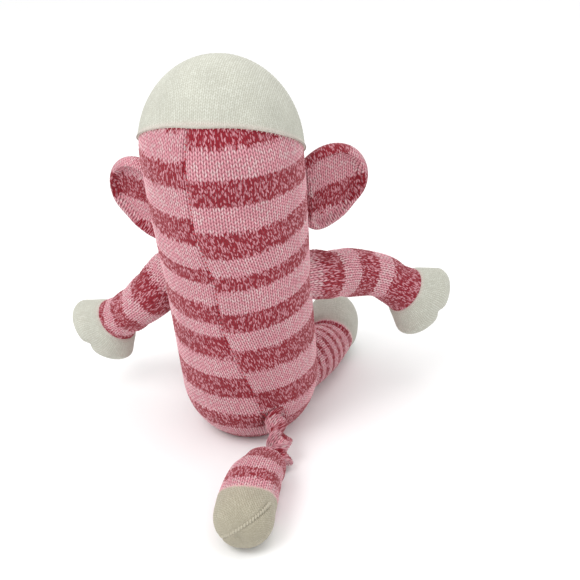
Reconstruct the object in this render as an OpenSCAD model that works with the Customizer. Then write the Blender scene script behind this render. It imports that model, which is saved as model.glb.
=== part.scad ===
// Stuffed sock monkey, sitting: knitted skins over fibre stuffing, sewn-on limbs, ears and tail.
// Millimetres. +Z is up, the monkey faces -Y, and its right hand side is -X.
// The origin is the middle of the flat of the seat, on the surface that the toy sits on.

/* [Body] */
// Length of the stuffed body tube from the seat's pole to the crown
body_len = 290; // [286:1:294]
// Diameter of the tube at the head
head_d = 101; // [99:1:103]
// Diameter of the tube at the waist
waist_d = 97.5; // [96:0.5:99]
// How far the body tube leans back from upright, in degrees
lean = 9.5; // [9:0.5:10]
// How much of the tube's round end is pressed flat by sitting
seat_cut = 8; // [7:0.5:9]
// Length of the rounding at the seat end of the tube
seat_round = 50; // [48:1:52]
// Length of the rounding at the crown
crown_round = 58; // [56:1:60]
// Thickness of the knitted fabric
skin = 1.8; // [1.4:0.1:2]
// Slope of the back seam across the tube, in degrees
seam_tilt = 8; // [6:0.5:10]
// Place along the tube where the sloping seam crosses the middle
seam_cross = 197; // [190:1:204]

/* [Cap and face] */
// Place of the cap's edge along the tube, at the sides of the head
cap_line = 237; // [236:1:239]
// Slope of the cap's edge, from high at the back to low at the face, in degrees
cap_tilt = 40; // [38:1:41]
// Half of the muzzle's width
muzzle_half = 35; // [32:1:37]
// Radius of the muzzle from its middle line
muzzle_r = 25; // [23:1:26]
// Place of the muzzle's middle along the tube
muzzle_at = 184; // [182:1:187]
// Diameter of each eye's dome
eye_d = 12; // [10:0.5:13]
// Place of the eyes along the tube
eye_at = 226; // [224:1:228]
// Angle from the middle of the face to each eye
eye_spread = 19; // [17:1:22]

/* [Ears] */
// Radius of the ear's round outline
ear_r = 29; // [27:1:30]
// Distance from the ear's fold line to the middle of its round outline
ear_reach = 14; // [12:1:15]
// Thickness of the stuffed ear
ear_t = 12; // [10:1:12]
// Place of the right ear along the tube
right_ear_at = 186; // [184:1:188]
// Place of the left ear along the tube, a little lower
left_ear_at = 181; // [179:1:183]
// Angle from the middle of the face to each ear's fold line
ear_spread = 66; // [64:1:68]
// Angle by which each ear points forward of straight out to the side
ear_sweep = 32; // [28:1:34]
// Angle by which the face and ears are turned to the toy's left
head_turn = 5; // [3:1:6]

/* [Limbs] */
// Radius of each arm where it meets the body
arm_r = 16.5; // [16:0.25:17]
// Radius of each leg where it meets the body
leg_r = 20; // [19.5:0.25:20.25]
// Radius of the tail's thin stem
stem_r = 6; // [5.5:0.25:6.5]
// Radius of the tail's stuffed end
bulb_r = 18; // [17.5:0.25:18.5]

/* [Hidden] */

$fn = 64;
big = 400;             // longer than anything in the toy
gap = 0.4;             // running gap between pieces that move against each other
ply = 0.3;             // gap between a skin and the stuffing that fills it
thread = 0.6;          // thickness of the sewing thread
loft = 0.05;           // gap between a thread and the fabric under it
sides = 20;            // sides of each swept tube
head_r = head_d / 2;
waist_r = waist_d / 2;
post_r = 1.8;          // radius of an eye's post
washer_r = 6;          // radius of the washer that locks an eye's post

// Each limb's middle line runs from the joint outwards, with two radii at each point,
// because hands and feet are wider one way than the other.
arm_line_right = [[-56, -6, 113], [-71, -22, 106], [-90, -37, 96], [-106, -48, 82], [-119, -58, 68]];
arm_line_left = [[56, -6, 110], [72, -6, 94], [90, -11, 78], [105, -16, 65], [119, -20, 53]];
arm_radii_right = [[arm_r, arm_r], [arm_r, arm_r], [15.5, 15.5], [15, 16], [16.5, 26]];
arm_radii_left = [for (r = arm_radii_right) [r[1], r[0]]];
leg_line_right = [[-35, -44, 20.5], [-41, -58, 20], [-46, -71, 20], [-47, -83, 23], [-47, -94, 25.5]];
leg_line_left = [for (p = leg_line_right) [-p[0], p[1], p[2]]];
leg_radii = [[leg_r, leg_r], [19, 19], [17, 17], [22.5, 19.5], [25, 19.5]];
stem_line = [[-25.5, 49, 25], [-28, 57, 19], [-31, 66, 12], [-31, 75, 9.5]];
stem_radii = [for (r = [stem_r, stem_r, stem_r, stem_r + 1]) [r, r]];
bulb_line = [[-24, 92, 15], [-22, 108, 17.5], [-21.5, 126, bulb_r + 0.3], [-22, 143, bulb_r + 0.3]];
bulb_radii = [for (r = [14.5, 17, bulb_r, bulb_r]) [r, r]];
cuff_ring = 3.1;       // place of the wrist along an arm's line, counted in its points
ankle_ring = 2.4;      // place of the ankle along a leg's line
toe_ring = 2.2;        // place where the tail's cream end starts
curl_gap = 1.2;        // clearance round the tail's stem, so that the stuffed end can curl up

// ---- the stuffed tube of the head and body ----

function ease(t) = let (c = min(1, max(0, t))) c * c * (3 - 2 * c);
function tube_r(s) = waist_r + (head_r - waist_r) * ease((s - 120) / 90);

// Half outline of the tube, grown by o: a round seat, a soft waist and a domed crown.
function tube_outline(o) = concat(
    [for (t = [0:7.5:82.5]) [(waist_r + o) * sin(t), seat_round - (seat_round + o) * cos(t)]],
    [for (s = [seat_round:12:body_len - crown_round - 1]) [tube_r(s) + o, s]],
    [for (t = [0:7.5:90]) [(head_r + o) * cos(t), body_len - crown_round + (crown_round + o) * sin(t)]]);

// Puts things into the leaning frame of the tube, whose axis starts at the seat's pole.
module on_body() {
    translate([0, 0, -seat_cut]) rotate([-lean, 0, 0]) children();
}

// The tube's solid, grown by o and flat underneath.
module body_solid(o) {
    intersection() {
        on_body() rotate_extrude() polygon(tube_outline(o));
        translate([-big / 2, -big / 2, -o]) cube(big);
    }
}

// Everything above the cap's sloping edge, moved up by o.
module cap_side(o) {
    on_body() translate([0, 0, cap_line + o]) rotate([cap_tilt, 0, 0])
        translate([-big / 2, -big / 2, 0]) cube(big);
}

// Everything on one side of the sloping seam: side is 1 for left and -1 for right.
module seam_side(side) {
    on_body() translate([0, 0, seam_cross]) rotate([0, seam_tilt, 0])
        translate([side > 0 ? 0.05 : -big - 0.05, -big / 2, -big / 2]) cube(big);
}

// A slice as thick as a thread along the seam, at the back (way 1) or at the front (way -1).
module seam_slice(way) {
    on_body() translate([0, 0, seam_cross]) rotate([0, seam_tilt, 0])
        translate([-thread, way > 0 ? 0 : -big, -big / 2]) cube([2 * thread, big, big]);
}

// The round hollows in which the sewn-on limbs turn, grown by o.
module limb_hollows(o) {
    for (line = [arm_line_left, arm_line_right]) translate(line[0]) sphere(arm_r + o);
    for (line = [leg_line_left, leg_line_right]) translate(line[0]) sphere(leg_r + o);
    translate(stem_line[0]) sphere(stem_r + o);
}

// Puts things on the face or the side of the head, turned by an angle from the middle of the face.
module on_head(s, turn) {
    on_body() translate([0, 0, s]) rotate([0, 0, turn + head_turn]) children();
}

module eye_posts(o) {
    for (side = [-1, 1]) on_head(eye_at, side * eye_spread) rotate([90, 0, 0]) cylinder(h = head_r + 2, r = post_r + o);
}

module body_shell() {
    difference() {
        body_solid(0);
        body_solid(-skin);
        limb_hollows(gap);
    }
}

module body_panel(side) {
    difference() {
        intersection() {
            body_shell();
            seam_side(side);
        }
        cap_side(-0.1);
    }
}

module left_body_panel() { color("#cf7f8c") body_panel(1); }
module right_body_panel() { color("#c06a78") body_panel(-1); }

module crown_cap() {
    color("#dcd8cb") difference() {
        intersection() {
            body_solid(0);
            cap_side(0);
        }
        body_solid(-skin);
        eye_posts(0.1);
    }
}

module body_stuffing() {
    color("#f4f2ec") difference() {
        body_solid(-skin - ply);
        limb_hollows(skin + gap);
        for (side = [-1, 1]) on_head(eye_at, side * eye_spread) rotate([90, 0, 0])
            translate([0, 0, head_r - 13]) cylinder(h = 30, r = washer_r + 0.5);
    }
}

// ---- sewing threads that lie on the body ----

// A skin of thread just over the fabric, clear of the floor and of the limbs.
module thread_layer() {
    difference() {
        body_solid(loft + thread);
        body_solid(loft);
        limb_hollows(2.4);
        translate([-big / 2, -big / 2, -big + 1]) cube(big);
    }
}

module cap_slice(o) {
    difference() {
        cap_side(-o);
        cap_side(o);
    }
}

module back_seam_thread() {
    color("#8d1f2c") difference() {
        intersection() {
            thread_layer();
            seam_slice(1);
        }
        cap_side(-2 * thread);
    }
}

module front_seam_thread() {
    color("#8d1f2c") difference() {
        intersection() {
            thread_layer();
            seam_slice(-1);
        }
        cap_side(-2 * thread);
        muzzle_solid(0.2);
    }
}

module cap_seam_thread() {
    color("#d9b9b4") difference() {
        intersection() {
            thread_layer();
            cap_slice(thread);
        }
        muzzle_solid(0.2);
    }
}

// A ring of stitches round a limb's hollow.
module joint_thread(place, r) {
    intersection() {
        difference() {
            body_solid(loft + thread);
            body_solid(loft);
        }
        translate([-big / 2, -big / 2, 0.5]) cube(big);
        difference() {
            translate(place) sphere(r + 2);
            translate(place) sphere(r + 0.8);
        }
    }
}

module left_shoulder_thread() { color("#8d1f2c") joint_thread(arm_line_left[0], arm_r); }
module right_shoulder_thread() { color("#8d1f2c") joint_thread(arm_line_right[0], arm_r); }
module left_hip_thread() { color("#8d1f2c") joint_thread(leg_line_left[0], leg_r); }
module right_hip_thread() { color("#8d1f2c") joint_thread(leg_line_right[0], leg_r); }

module tail_root_thread() { color("#8d1f2c") joint_thread(stem_line[0], stem_r); }

// ---- the face ----

// The muzzle's full oval, grown by o: an ellipse turned about the line from ear to ear.
module muzzle_solid(o) {
    on_head(muzzle_at, 0) translate([0, -head_r + muzzle_r / 2, 0]) rotate([0, 90, 0])
        rotate_extrude() polygon([for (t = [-90:7.5:90]) [(muzzle_r + o) * cos(t), (muzzle_half + o) * sin(t)]]);
}

module muzzle_skin() {
    color("#dcd8cb") difference() {
        muzzle_solid(0);
        muzzle_solid(-skin);
        body_solid(ply);
    }
}

module muzzle_stuffing() {
    color("#f4f2ec") difference() {
        muzzle_solid(-skin - ply);
        body_solid(2 * ply);
    }
}

module mouth_stitch() {
    color("#a3202f") intersection() {
        difference() {
            muzzle_solid(loft + thread);
            muzzle_solid(loft);
        }
        on_head(muzzle_at - 7, 0) translate([-22, -big, -thread]) cube([44, big - head_r, 2 * thread]);
    }
}

module nostril_stitches() {
    color("#a3202f") intersection() {
        difference() {
            muzzle_solid(loft + thread);
            muzzle_solid(loft);
        }
        for (side = [-1, 1]) on_head(muzzle_at + 9, 0)
            translate([side * 6 - 2, -big, -thread]) cube([4, big - head_r, 2 * thread]);
    }
}

// A safety eye: a shallow dome outside the skin, with a post through it.
module eye(side) {
    on_head(eye_at, side * eye_spread) rotate([90, 0, 0]) {
        intersection() {
            translate([0, 0, head_r - 1.4]) sphere(eye_d / 2 + 0.5);
            translate([0, 0, head_r + 0.2]) cylinder(h = eye_d, r = eye_d / 2);
        }
        translate([0, 0, head_r - 10]) cylinder(h = 11, r = post_r);
    }
}

module eye_washer(side) {
    on_head(eye_at, side * eye_spread) rotate([90, 0, 0]) translate([0, 0, head_r - 6]) difference() {
        cylinder(h = 1.2, r = washer_r);
        translate([0, 0, -1]) cylinder(h = 4, r = post_r + 0.05);
    }
}

module left_eye() { color("#151515") eye(1); }
module right_eye() { color("#151515") eye(-1); }
module left_eye_washer() { color("#e8e8e4") eye_washer(1); }
module right_eye_washer() { color("#e8e8e4") eye_washer(-1); }

// ---- the ears ----

function ear_at(side) = side > 0 ? left_ear_at : right_ear_at;

// The ear's own frame: its fold line is Z, and the ear reaches out along X.
module on_ear(side) {
    on_head(ear_at(side), side * ear_spread) translate([0, -head_r - ear_t / 2 - gap, 0])
        rotate([0, 0, side > 0 ? -ear_spread - ear_sweep : 180 + ear_spread + ear_sweep]) children();
}

// A stuffed half round with a rolled rim and a rounded fold line, grown by o.
module ear_solid(o) {
    half_t = ear_t / 2 + o;
    intersection() {
        translate([ear_reach, 0, 0]) rotate([90, 0, 0]) rotate_extrude() union() {
            translate([0, -half_t]) square([ear_r - ear_t / 2, 2 * half_t]);
            translate([ear_r - ear_t / 2, 0]) circle(half_t);
        }
        translate([0, -big / 2, -big / 2]) cube(big);
    }
    fold = sqrt(ear_r * ear_r - ear_reach * ear_reach) - ear_t / 2;
    translate([0, 0, -fold]) cylinder(h = 2 * fold, r = half_t - 0.1);
}

// The ear's skin on one face: way is 1 for the back and -1 for the front.
module ear_face(side, way) {
    on_ear(side) intersection() {
        difference() {
            ear_solid(0);
            ear_solid(-skin);
        }
        translate([-big / 2, way * side > 0 ? 0.05 : -big - 0.05, -big / 2]) cube(big);
    }
}

module ear_thread(side) {
    intersection() {
        difference() {
            body_solid(loft + ply);
            body_solid(loft);
        }
        on_head(ear_at(side), side * ear_spread) translate([-1.5, -big, -ear_r + ear_t]) cube([3, big, 2 * (ear_r - ear_t)]);
    }
}

module left_ear_back() { color("#b35a69") ear_face(1, 1); }
module left_ear_front() { color("#e0a4ac") ear_face(1, -1); }
module left_ear_stuffing() { color("#f4f2ec") on_ear(1) ear_solid(-skin - ply); }
module left_ear_thread() { color("#8d1f2c") ear_thread(1); }
module right_ear_back() { color("#b35a69") ear_face(-1, 1); }
module right_ear_front() { color("#e0a4ac") ear_face(-1, -1); }
module right_ear_stuffing() { color("#f4f2ec") on_ear(-1) ear_solid(-skin - ply); }
module right_ear_thread() { color("#8d1f2c") ear_thread(-1); }

// ---- swept limbs ----

// A smooth curve through the points of a line, at place t counted in points.
function knot(line, i) = line[min(len(line) - 1, max(0, i))];
function curve(line, t) =
    let (i = min(len(line) - 2, floor(t)), u = t - i,
         a = knot(line, i - 1), b = knot(line, i), c = knot(line, i + 1), d = knot(line, i + 2))
    (2 * b + (c - a) * u + (2 * a - 5 * b + 4 * c - d) * u * u + (3 * b - 3 * c + d - a) * u * u * u) / 2;
function unit(v) = v / norm(v);
function heading(line, t) =
    let (e = 0.02, last = len(line) - 1)
    unit(curve(line, min(last, t + e)) - curve(line, max(0, t - e)));

// One ring of points round a centre, square to the heading h. flank is any direction not along h.
function ring(centre, h, flank, r) =
    let (u = unit(cross(h, flank)), v = cross(h, u))
    [for (k = [0:sides - 1]) centre + r[0] * cos(360 * k / sides) * u + r[1] * sin(360 * k / sides) * v];

// Rings from place t0 to place t1, grown by o, with round caps where the line starts or ends.
function limb_rings(line, radii, flank, t0, t1, o) =
    let (last = len(line) - 1, n = 4 * (t1 - t0),
         h0 = heading(line, 0), h1 = heading(line, last),
         r0 = radii[0] + [o, o], r1 = radii[last] + [o, o])
    concat(
        t0 > 0 ? [] : [for (a = [5:17:73]) ring(line[0] - h0 * min(r0) * cos(a), h0, flank, r0 * sin(a))],
        [for (k = [0:ceil(n)])
            let (t = min(t1, t0 + k / 4))
            if (k == 0 || t > t0 + (k - 1) / 4 + 0.05) ring(curve(line, t), heading(line, t), flank, curve(radii, t) + [o, o])],
        t1 < last ? [] : [for (a = [73:-17:5]) ring(line[last] + h1 * min(r1) * cos(a), h1, flank, r1 * sin(a))]);

// A closed solid through a list of rings.
module skin_rings(rings) {
    count = len(rings);
    points = [for (one = rings) for (p = one) p];
    walls = [for (j = [0:count - 2]) for (k = [0:sides - 1])
        let (a = j * sides + k, b = j * sides + (k + 1) % sides) each [[a, b + sides, b], [a, a + sides, b + sides]]];
    ends = [[for (k = [0:sides - 1]) k], [for (k = [sides - 1:-1:0]) (count - 1) * sides + k]];
    polyhedron(points, concat(walls, ends));
}

module limb(line, radii, flank, t0, t1, o) {
    skin_rings(limb_rings(line, radii, flank, t0, t1, o));
}

// A knitted skin over part of a limb; it is open where it meets the next piece.
module limb_skin(line, radii, flank, t0, t1) {
    last = len(line) - 1;
    difference() {
        limb(line, radii, flank, t0, t1, 0);
        limb(line, radii, flank, max(0, t0 - 0.2), min(last, t1 + 0.2), -skin);
    }
}

module limb_fill(line, radii, flank) {
    limb(line, radii, flank, 0, len(line) - 1, -skin - ply);
}

hand_gap = 0.02;
module left_arm_sleeve() { color("#cf7f8c") limb_skin(arm_line_left, arm_radii_left, [0, 1, 0], 0, cuff_ring); }
module left_hand() { color("#d8d2c6") limb_skin(arm_line_left, arm_radii_left, [0, 1, 0], cuff_ring + hand_gap, 4); }
module left_arm_stuffing() { color("#f4f2ec") limb_fill(arm_line_left, arm_radii_left, [0, 1, 0]); }
module right_arm_sleeve() { color("#cf7f8c") limb_skin(arm_line_right, arm_radii_right, [0, 0, 1], 0, cuff_ring); }
module right_hand() { color("#d8d2c6") limb_skin(arm_line_right, arm_radii_right, [0, 0, 1], cuff_ring + hand_gap, 4); }
module right_arm_stuffing() { color("#f4f2ec") limb_fill(arm_line_right, arm_radii_right, [0, 0, 1]); }

module left_leg_sleeve() { color("#cf7f8c") limb_skin(leg_line_left, leg_radii, [1, 0, 0], 0, ankle_ring); }
module left_foot() { color("#d8d2c6") limb_skin(leg_line_left, leg_radii, [1, 0, 0], ankle_ring + hand_gap, 4); }
module left_leg_stuffing() { color("#f4f2ec") limb_fill(leg_line_left, leg_radii, [1, 0, 0]); }
module right_leg_sleeve() { color("#cf7f8c") limb_skin(leg_line_right, leg_radii, [1, 0, 0], 0, ankle_ring); }
module right_foot() { color("#d8d2c6") limb_skin(leg_line_right, leg_radii, [1, 0, 0], ankle_ring + hand_gap, 4); }
module right_leg_stuffing() { color("#f4f2ec") limb_fill(leg_line_right, leg_radii, [1, 0, 0]); }

// ---- the tail ----

module tail_stem() { color("#b35a69") limb(stem_line, stem_radii, [1, 0, 0], 0, 3, 0); }

// The hollow in the stuffed end where the stem is sewn in.
module stem_hollow(o) {
    translate(stem_line[3]) sphere(stem_r + 1 + o);
}

module tail_sleeve() {
    color("#cf7f8c") difference() {
        limb_skin(bulb_line, bulb_radii, [1, 0, 0], 0, toe_ring);
        stem_hollow(curl_gap);
    }
}

module tail_tip() { color("#d8d2c6") limb_skin(bulb_line, bulb_radii, [1, 0, 0], toe_ring + hand_gap, 3); }

module tail_stuffing() {
    color("#f4f2ec") difference() {
        limb_fill(bulb_line, bulb_radii, [1, 0, 0]);
        stem_hollow(skin + curl_gap);
    }
}

// The seam that closes the tail's toe, a thread across its rounded end.
module tail_toe_thread() {
    color("#b9b39f") intersection() {
        difference() {
            limb(bulb_line, bulb_radii, [1, 0, 0], 0, 3, loft + thread);
            limb(bulb_line, bulb_radii, [1, 0, 0], 0, 3, loft);
        }
        translate([-big / 2, bulb_line[3][1] + 9, bulb_r + 4]) rotate([-35, 0, 0]) cube([big, big, 2 * thread]);
    }
}

left_body_panel();
right_body_panel();
crown_cap();
body_stuffing();
back_seam_thread();
front_seam_thread();
cap_seam_thread();
muzzle_skin();
muzzle_stuffing();
mouth_stitch();
nostril_stitches();
left_eye();
right_eye();
left_eye_washer();
right_eye_washer();
left_ear_back();
left_ear_front();
left_ear_stuffing();
left_ear_thread();
right_ear_back();
right_ear_front();
right_ear_stuffing();
right_ear_thread();
left_arm_sleeve();
left_hand();
left_arm_stuffing();
left_shoulder_thread();
right_arm_sleeve();
right_hand();
right_arm_stuffing();
right_shoulder_thread();
left_leg_sleeve();
left_foot();
left_leg_stuffing();
left_hip_thread();
right_leg_sleeve();
right_foot();
right_leg_stuffing();
right_hip_thread();
tail_stem();
tail_root_thread();
tail_sleeve();
tail_tip();
tail_stuffing();
tail_toe_thread();
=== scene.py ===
# %% [markdown]
# # A stuffed sock monkey
# The toy is knitted from striped and cream yarn and stuffed with soft fibre. Its skins are sewn
# from tubes of knitting, so every skin here is a grid whose columns are wales (columns of
# stitches) and whose rows are courses (rows of stitches). Shape and colour both follow them.

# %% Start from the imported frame
import math

import bpy
import numpy as np
from mathutils import Matrix, Vector


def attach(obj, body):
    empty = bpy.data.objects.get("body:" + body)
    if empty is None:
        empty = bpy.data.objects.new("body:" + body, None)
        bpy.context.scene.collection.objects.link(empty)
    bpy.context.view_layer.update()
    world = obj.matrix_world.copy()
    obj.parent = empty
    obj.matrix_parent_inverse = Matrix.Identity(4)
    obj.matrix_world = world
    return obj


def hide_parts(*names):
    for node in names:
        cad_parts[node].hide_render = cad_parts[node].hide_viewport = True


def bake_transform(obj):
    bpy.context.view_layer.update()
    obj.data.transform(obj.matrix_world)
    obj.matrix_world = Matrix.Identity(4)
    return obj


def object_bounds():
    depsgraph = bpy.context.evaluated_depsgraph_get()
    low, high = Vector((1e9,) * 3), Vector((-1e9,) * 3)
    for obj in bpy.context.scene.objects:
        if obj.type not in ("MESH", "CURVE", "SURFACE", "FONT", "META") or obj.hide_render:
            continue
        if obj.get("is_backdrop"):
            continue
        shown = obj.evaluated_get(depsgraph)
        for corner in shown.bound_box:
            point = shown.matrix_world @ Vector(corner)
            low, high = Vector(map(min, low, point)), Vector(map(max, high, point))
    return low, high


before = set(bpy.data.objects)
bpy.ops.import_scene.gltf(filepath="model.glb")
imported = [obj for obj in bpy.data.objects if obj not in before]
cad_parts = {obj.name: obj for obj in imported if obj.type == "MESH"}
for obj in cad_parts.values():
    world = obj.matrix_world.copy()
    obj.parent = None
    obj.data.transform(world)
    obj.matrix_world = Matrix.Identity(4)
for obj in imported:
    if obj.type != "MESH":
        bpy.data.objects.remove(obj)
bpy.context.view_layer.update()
MM = 0.001
print("frame loaded:", len(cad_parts), "nodes")

# %% [markdown]
# ## Measurements
# All in millimetres, in the same frame as the CAD model. The head and body are one stuffed tube
# that leans back. A place on it is given by s, the distance along the tube from the seat, and by
# turn, the angle from the middle of the back towards the toy's left.

# %% Measurements of the body tube, the knitting and the pieces
BODY_LEN, HEAD_R, WAIST_R = 290.0, 50.5, 48.75
SEAT_CUT, SEAT_ROUND, CROWN_ROUND = 8.0, 50.0, 58.0
LEAN = math.radians(9.5)
HEAD_TURN = 5.0
CAP_LINE, CAP_TILT = 237.0, math.tan(math.radians(40.0))
WALE, COURSE = 3.2, 2.56            # size of one stitch of the striped knitting
FINE_WALE, FINE_COURSE = 2.1, 1.75  # size of one stitch of the cream knitting
PER_STITCH = 4                      # grid cells across one stitch, both ways
V_RISE = 0.8                        # how steeply the legs of each stitch's V rise
RELIEF = 0.55                       # how far the stitches stand out

# The back seam wanders: turn of the seam, in degrees, at places along the tube.
SEAM_PLACE = [0, 40, 72, 90, 107, 124, 165, 183, 200, 290]
SEAM_TURN = [-30, -24, -14.5, -8.5, -3, 2.5, 3, 8, 12, 11.5]

# Edges of the stripes along the tube; odd spaces are red. The two panels don't match at the seam.
RIGHT_STRIPES = [5, 22, 39.5, 53, 69.5, 88.5, 107.5, 123.5, 138.5, 157.5, 168.5, 183, 201.5,
                 220.5, 238.5, 257, 276, 292]
LEFT_STRIPES = [-12, 5, 22.5, 35, 49.5, 65.5, 84, 100.5, 119, 130, 146, 163.5, 174, 192.5, 211,
                232, 248.5, 265.5, 284]

ARM_R, LEG_R, STEM_R, BULB_R = 16.5, 20.0, 6.0, 18.0
ARM_LINE = {"right": [[-56, -6, 113], [-71, -22, 106], [-90, -37, 96], [-106, -48, 82], [-119, -58, 68]],
            "left": [[56, -6, 110], [72, -6, 94], [90, -11, 78], [105, -16, 65], [119, -20, 53]]}
ARM_RADII = {"right": [[ARM_R, ARM_R], [ARM_R, ARM_R], [15.5, 15.5], [15, 16], [16.5, 26]],
             "left": [[ARM_R, ARM_R], [ARM_R, ARM_R], [15.5, 15.5], [16, 15], [26, 16.5]]}
ARM_FLANK = {"right": [0, 0, 1], "left": [0, 1, 0]}
ARM_STRIPES = {"right": [-60, -12, 3, 20.5, 39, 51, 95], "left": [-60, 7, 26, 40, 57, 66, 95]}
CUFF = 3.1
LEG_LINE = {"right": [[-35, -44, 20.5], [-41, -58, 20], [-46, -71, 20], [-47, -83, 23], [-47, -94, 25.5]],
            "left": [[35, -44, 20.5], [41, -58, 20], [46, -71, 20], [47, -83, 23], [47, -94, 25.5]]}
LEG_RADII = [[LEG_R, LEG_R], [19, 19], [17, 17], [22.5, 19.5], [25, 19.5]]
ANKLE = 2.4
STEM_LINE = [[-25.5, 49, 25], [-28, 57, 19], [-31, 66, 12], [-31, 75, 9.5]]
BULB_LINE = [[-24, 92, 15], [-22, 108, 17.5], [-21.5, 126, 18.3], [-22, 143, 18.3]]
BULB_RADII = [[14.5, 14.5], [17, 17], [BULB_R, BULB_R], [BULB_R, BULB_R]]
BULB_STRIPES = [-30, -3, 13, 25, 35, 70]
TOE_EDGE = 43.5                     # where the tail's cream end starts, on its upper side
TOE_DROOP = (10.0, 1.0)             # how much earlier it starts on the flanks, and their difference

EAR_R, EAR_REACH, EAR_T = 29.0, 14.0, 12.0
EAR_AT = {"right": 186.0, "left": 181.0}
EAR_SPREAD, EAR_SWEEP, EAR_GAP = 66.0, 32.0, 0.4
MUZZLE_HALF, MUZZLE_R, MUZZLE_AT = 35.0, 25.0, 184.0
SIDE = {"left": 1, "right": -1}
print("measurements set")

# %% [markdown]
# ## The shape of the tube
# One function gives any point on the body, so that skins, seams and threads all agree.

# %% Functions for places on the tube and the head
def ease(t):
    t = np.clip(t, 0, 1)
    return t * t * (3 - 2 * t)


def tube_radius(s):
    s = np.asarray(s, float)
    middle = WAIST_R + (HEAD_R - WAIST_R) * ease((s - 120) / 90)
    seat = WAIST_R * np.sqrt(np.clip(1 - ((SEAT_ROUND - s) / SEAT_ROUND) ** 2, 0, 1))
    crown = HEAD_R * np.sqrt(np.clip(1 - ((s - BODY_LEN + CROWN_ROUND) / CROWN_ROUND) ** 2, 0, 1))
    return np.where(s < SEAT_ROUND, seat, np.where(s > BODY_LEN - CROWN_ROUND, crown, middle))


def from_tube(x, y, s):
    """World place of a point in the tube's own leaning frame."""
    x, y, s = np.broadcast_arrays(x, y, s)
    return np.stack([x, y * math.cos(LEAN) + s * math.sin(LEAN),
                     -y * math.sin(LEAN) + s * math.cos(LEAN) - SEAT_CUT], -1)


def to_tube(points):
    """The tube's own x, y and s of world points."""
    x, y, z = points[..., 0], points[..., 1], points[..., 2] + SEAT_CUT
    return x, y * math.cos(LEAN) - z * math.sin(LEAN), y * math.sin(LEAN) + z * math.cos(LEAN)


def on_tube(s, turn, out=0.0):
    r = tube_radius(s) + out
    return from_tube(r * np.sin(turn), r * np.cos(turn), s)


def turned(points, degrees):
    c, n = math.cos(math.radians(degrees)), math.sin(math.radians(degrees))
    x, y = points[..., 0], points[..., 1]
    return np.stack([x * c - y * n, x * n + y * c, points[..., 2]], -1)


def on_head(points, s, turn):
    """Puts points on the head: turn is the angle from the middle of the face."""
    p = turned(np.asarray(points, float), turn + HEAD_TURN)
    return from_tube(p[..., 0], p[..., 1], p[..., 2] + s)


def seam_turn(s):
    return np.radians(np.interp(s, SEAM_PLACE, SEAM_TURN))


print("tube radius at the waist:", float(tube_radius(100)))

# %% [markdown]
# ## The shape of one stitch
# A plain knitted stitch shows as a V with two plump legs. The next course's V sits inside it.
# The same rule shapes the mesh here and colours the yarn in the materials below.

# %% Stitch relief and grid meshes
def stitch_relief(wale, course):
    fold = np.abs(2 * (wale % 1.0) - 1)
    leg = np.sin(np.pi * ((2 * wale) % 1.0)) ** 0.8
    ridge = 0.5 + 0.5 * np.cos(2 * np.pi * (course - V_RISE * fold))
    return leg * (0.3 + 0.7 * ridge)


def grid_normals(points, closed):
    if closed:
        wrapped = np.concatenate([points[:, -1:], points, points[:, :1]], 1)
        across = (wrapped[:, 2:] - wrapped[:, :-2])
    else:
        across = np.gradient(points, axis=1)
    normal = np.cross(across, np.gradient(points, axis=0))
    length = np.linalg.norm(normal, axis=-1, keepdims=True)
    return normal / np.maximum(length, 1e-9)


def mesh_from(name, points, faces, uv=None, values=None):
    mesh = bpy.data.meshes.new(name)
    points = np.asarray(points, float).reshape(-1, 3)
    mesh.vertices.add(len(points))
    mesh.vertices.foreach_set("co", (points * MM).astype(np.float32).ravel())
    size = faces.shape[1]
    mesh.loops.add(faces.size)
    mesh.loops.foreach_set("vertex_index", faces.astype(np.int32).ravel())
    mesh.polygons.add(len(faces))
    mesh.polygons.foreach_set("loop_start", np.arange(0, faces.size, size, dtype=np.int32))
    if uv is not None:
        layer = mesh.uv_layers.new(name="Knit")
        layer.uv.foreach_set("vector", uv.astype(np.float32).ravel())
    for key, value in (values or {}).items():
        attribute = mesh.attributes.new(key, "FLOAT", "POINT")
        attribute.data.foreach_set("value", np.asarray(value, np.float32).ravel())
    mesh.update(calc_edges=True)
    mesh.validate()
    mesh.shade_smooth()
    thing = bpy.data.objects.new(name, mesh)
    bpy.context.scene.collection.objects.link(thing)
    return thing


def grid_faces(rows, cols, closed):
    a = np.arange(cols if closed else cols - 1)
    b = (a + 1) % cols
    r = np.arange(rows - 1)[:, None] * cols
    return np.stack([r + a, r + b, r + cols + b, r + cols + a], -1).reshape(-1, 4)


def knit(name, points, wale, course, band=None, closed=False, relief=RELIEF, keep=None, flip=False,
         floor=True, values=None):
    """A knitted skin from a grid of points. wale and course count stitches at each grid point;
    a closed grid's wale array has one column more than its points."""
    rows, cols = points.shape[:2]
    normal = grid_normals(points, closed) * (-1 if flip else 1)
    w = wale[:, :cols]
    points = points + normal * (np.asarray(relief) * stitch_relief(w, course[:, :cols]))[..., None]
    if floor:
        points[..., 2] = np.maximum(points[..., 2], 0.05)
    faces = grid_faces(rows, cols, closed)
    uc = wale if wale.shape[1] > cols or not closed else np.concatenate([wale, wale[:, :1]], 1)
    vc = course if course.shape[1] == uc.shape[1] else np.concatenate([course, course[:, :1]], 1)
    r, c = np.divmod(np.arange(len(faces)), cols if closed else cols - 1)
    corners = [(r, c), (r, c + 1), (r + 1, c + 1), (r + 1, c)]
    uv = np.stack([np.stack([uc[i, j], vc[i, j]], -1) for i, j in corners], 1)
    if flip:
        faces, uv = faces[:, ::-1], uv[:, ::-1]
    if keep is not None:
        kept = keep.reshape(-1)[faces].any(1)
        faces, uv = faces[kept], uv[kept]
    extra = dict(values or {})
    if band is not None:
        extra["Band"] = band
    return mesh_from(name, points, faces, uv, extra)


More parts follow.
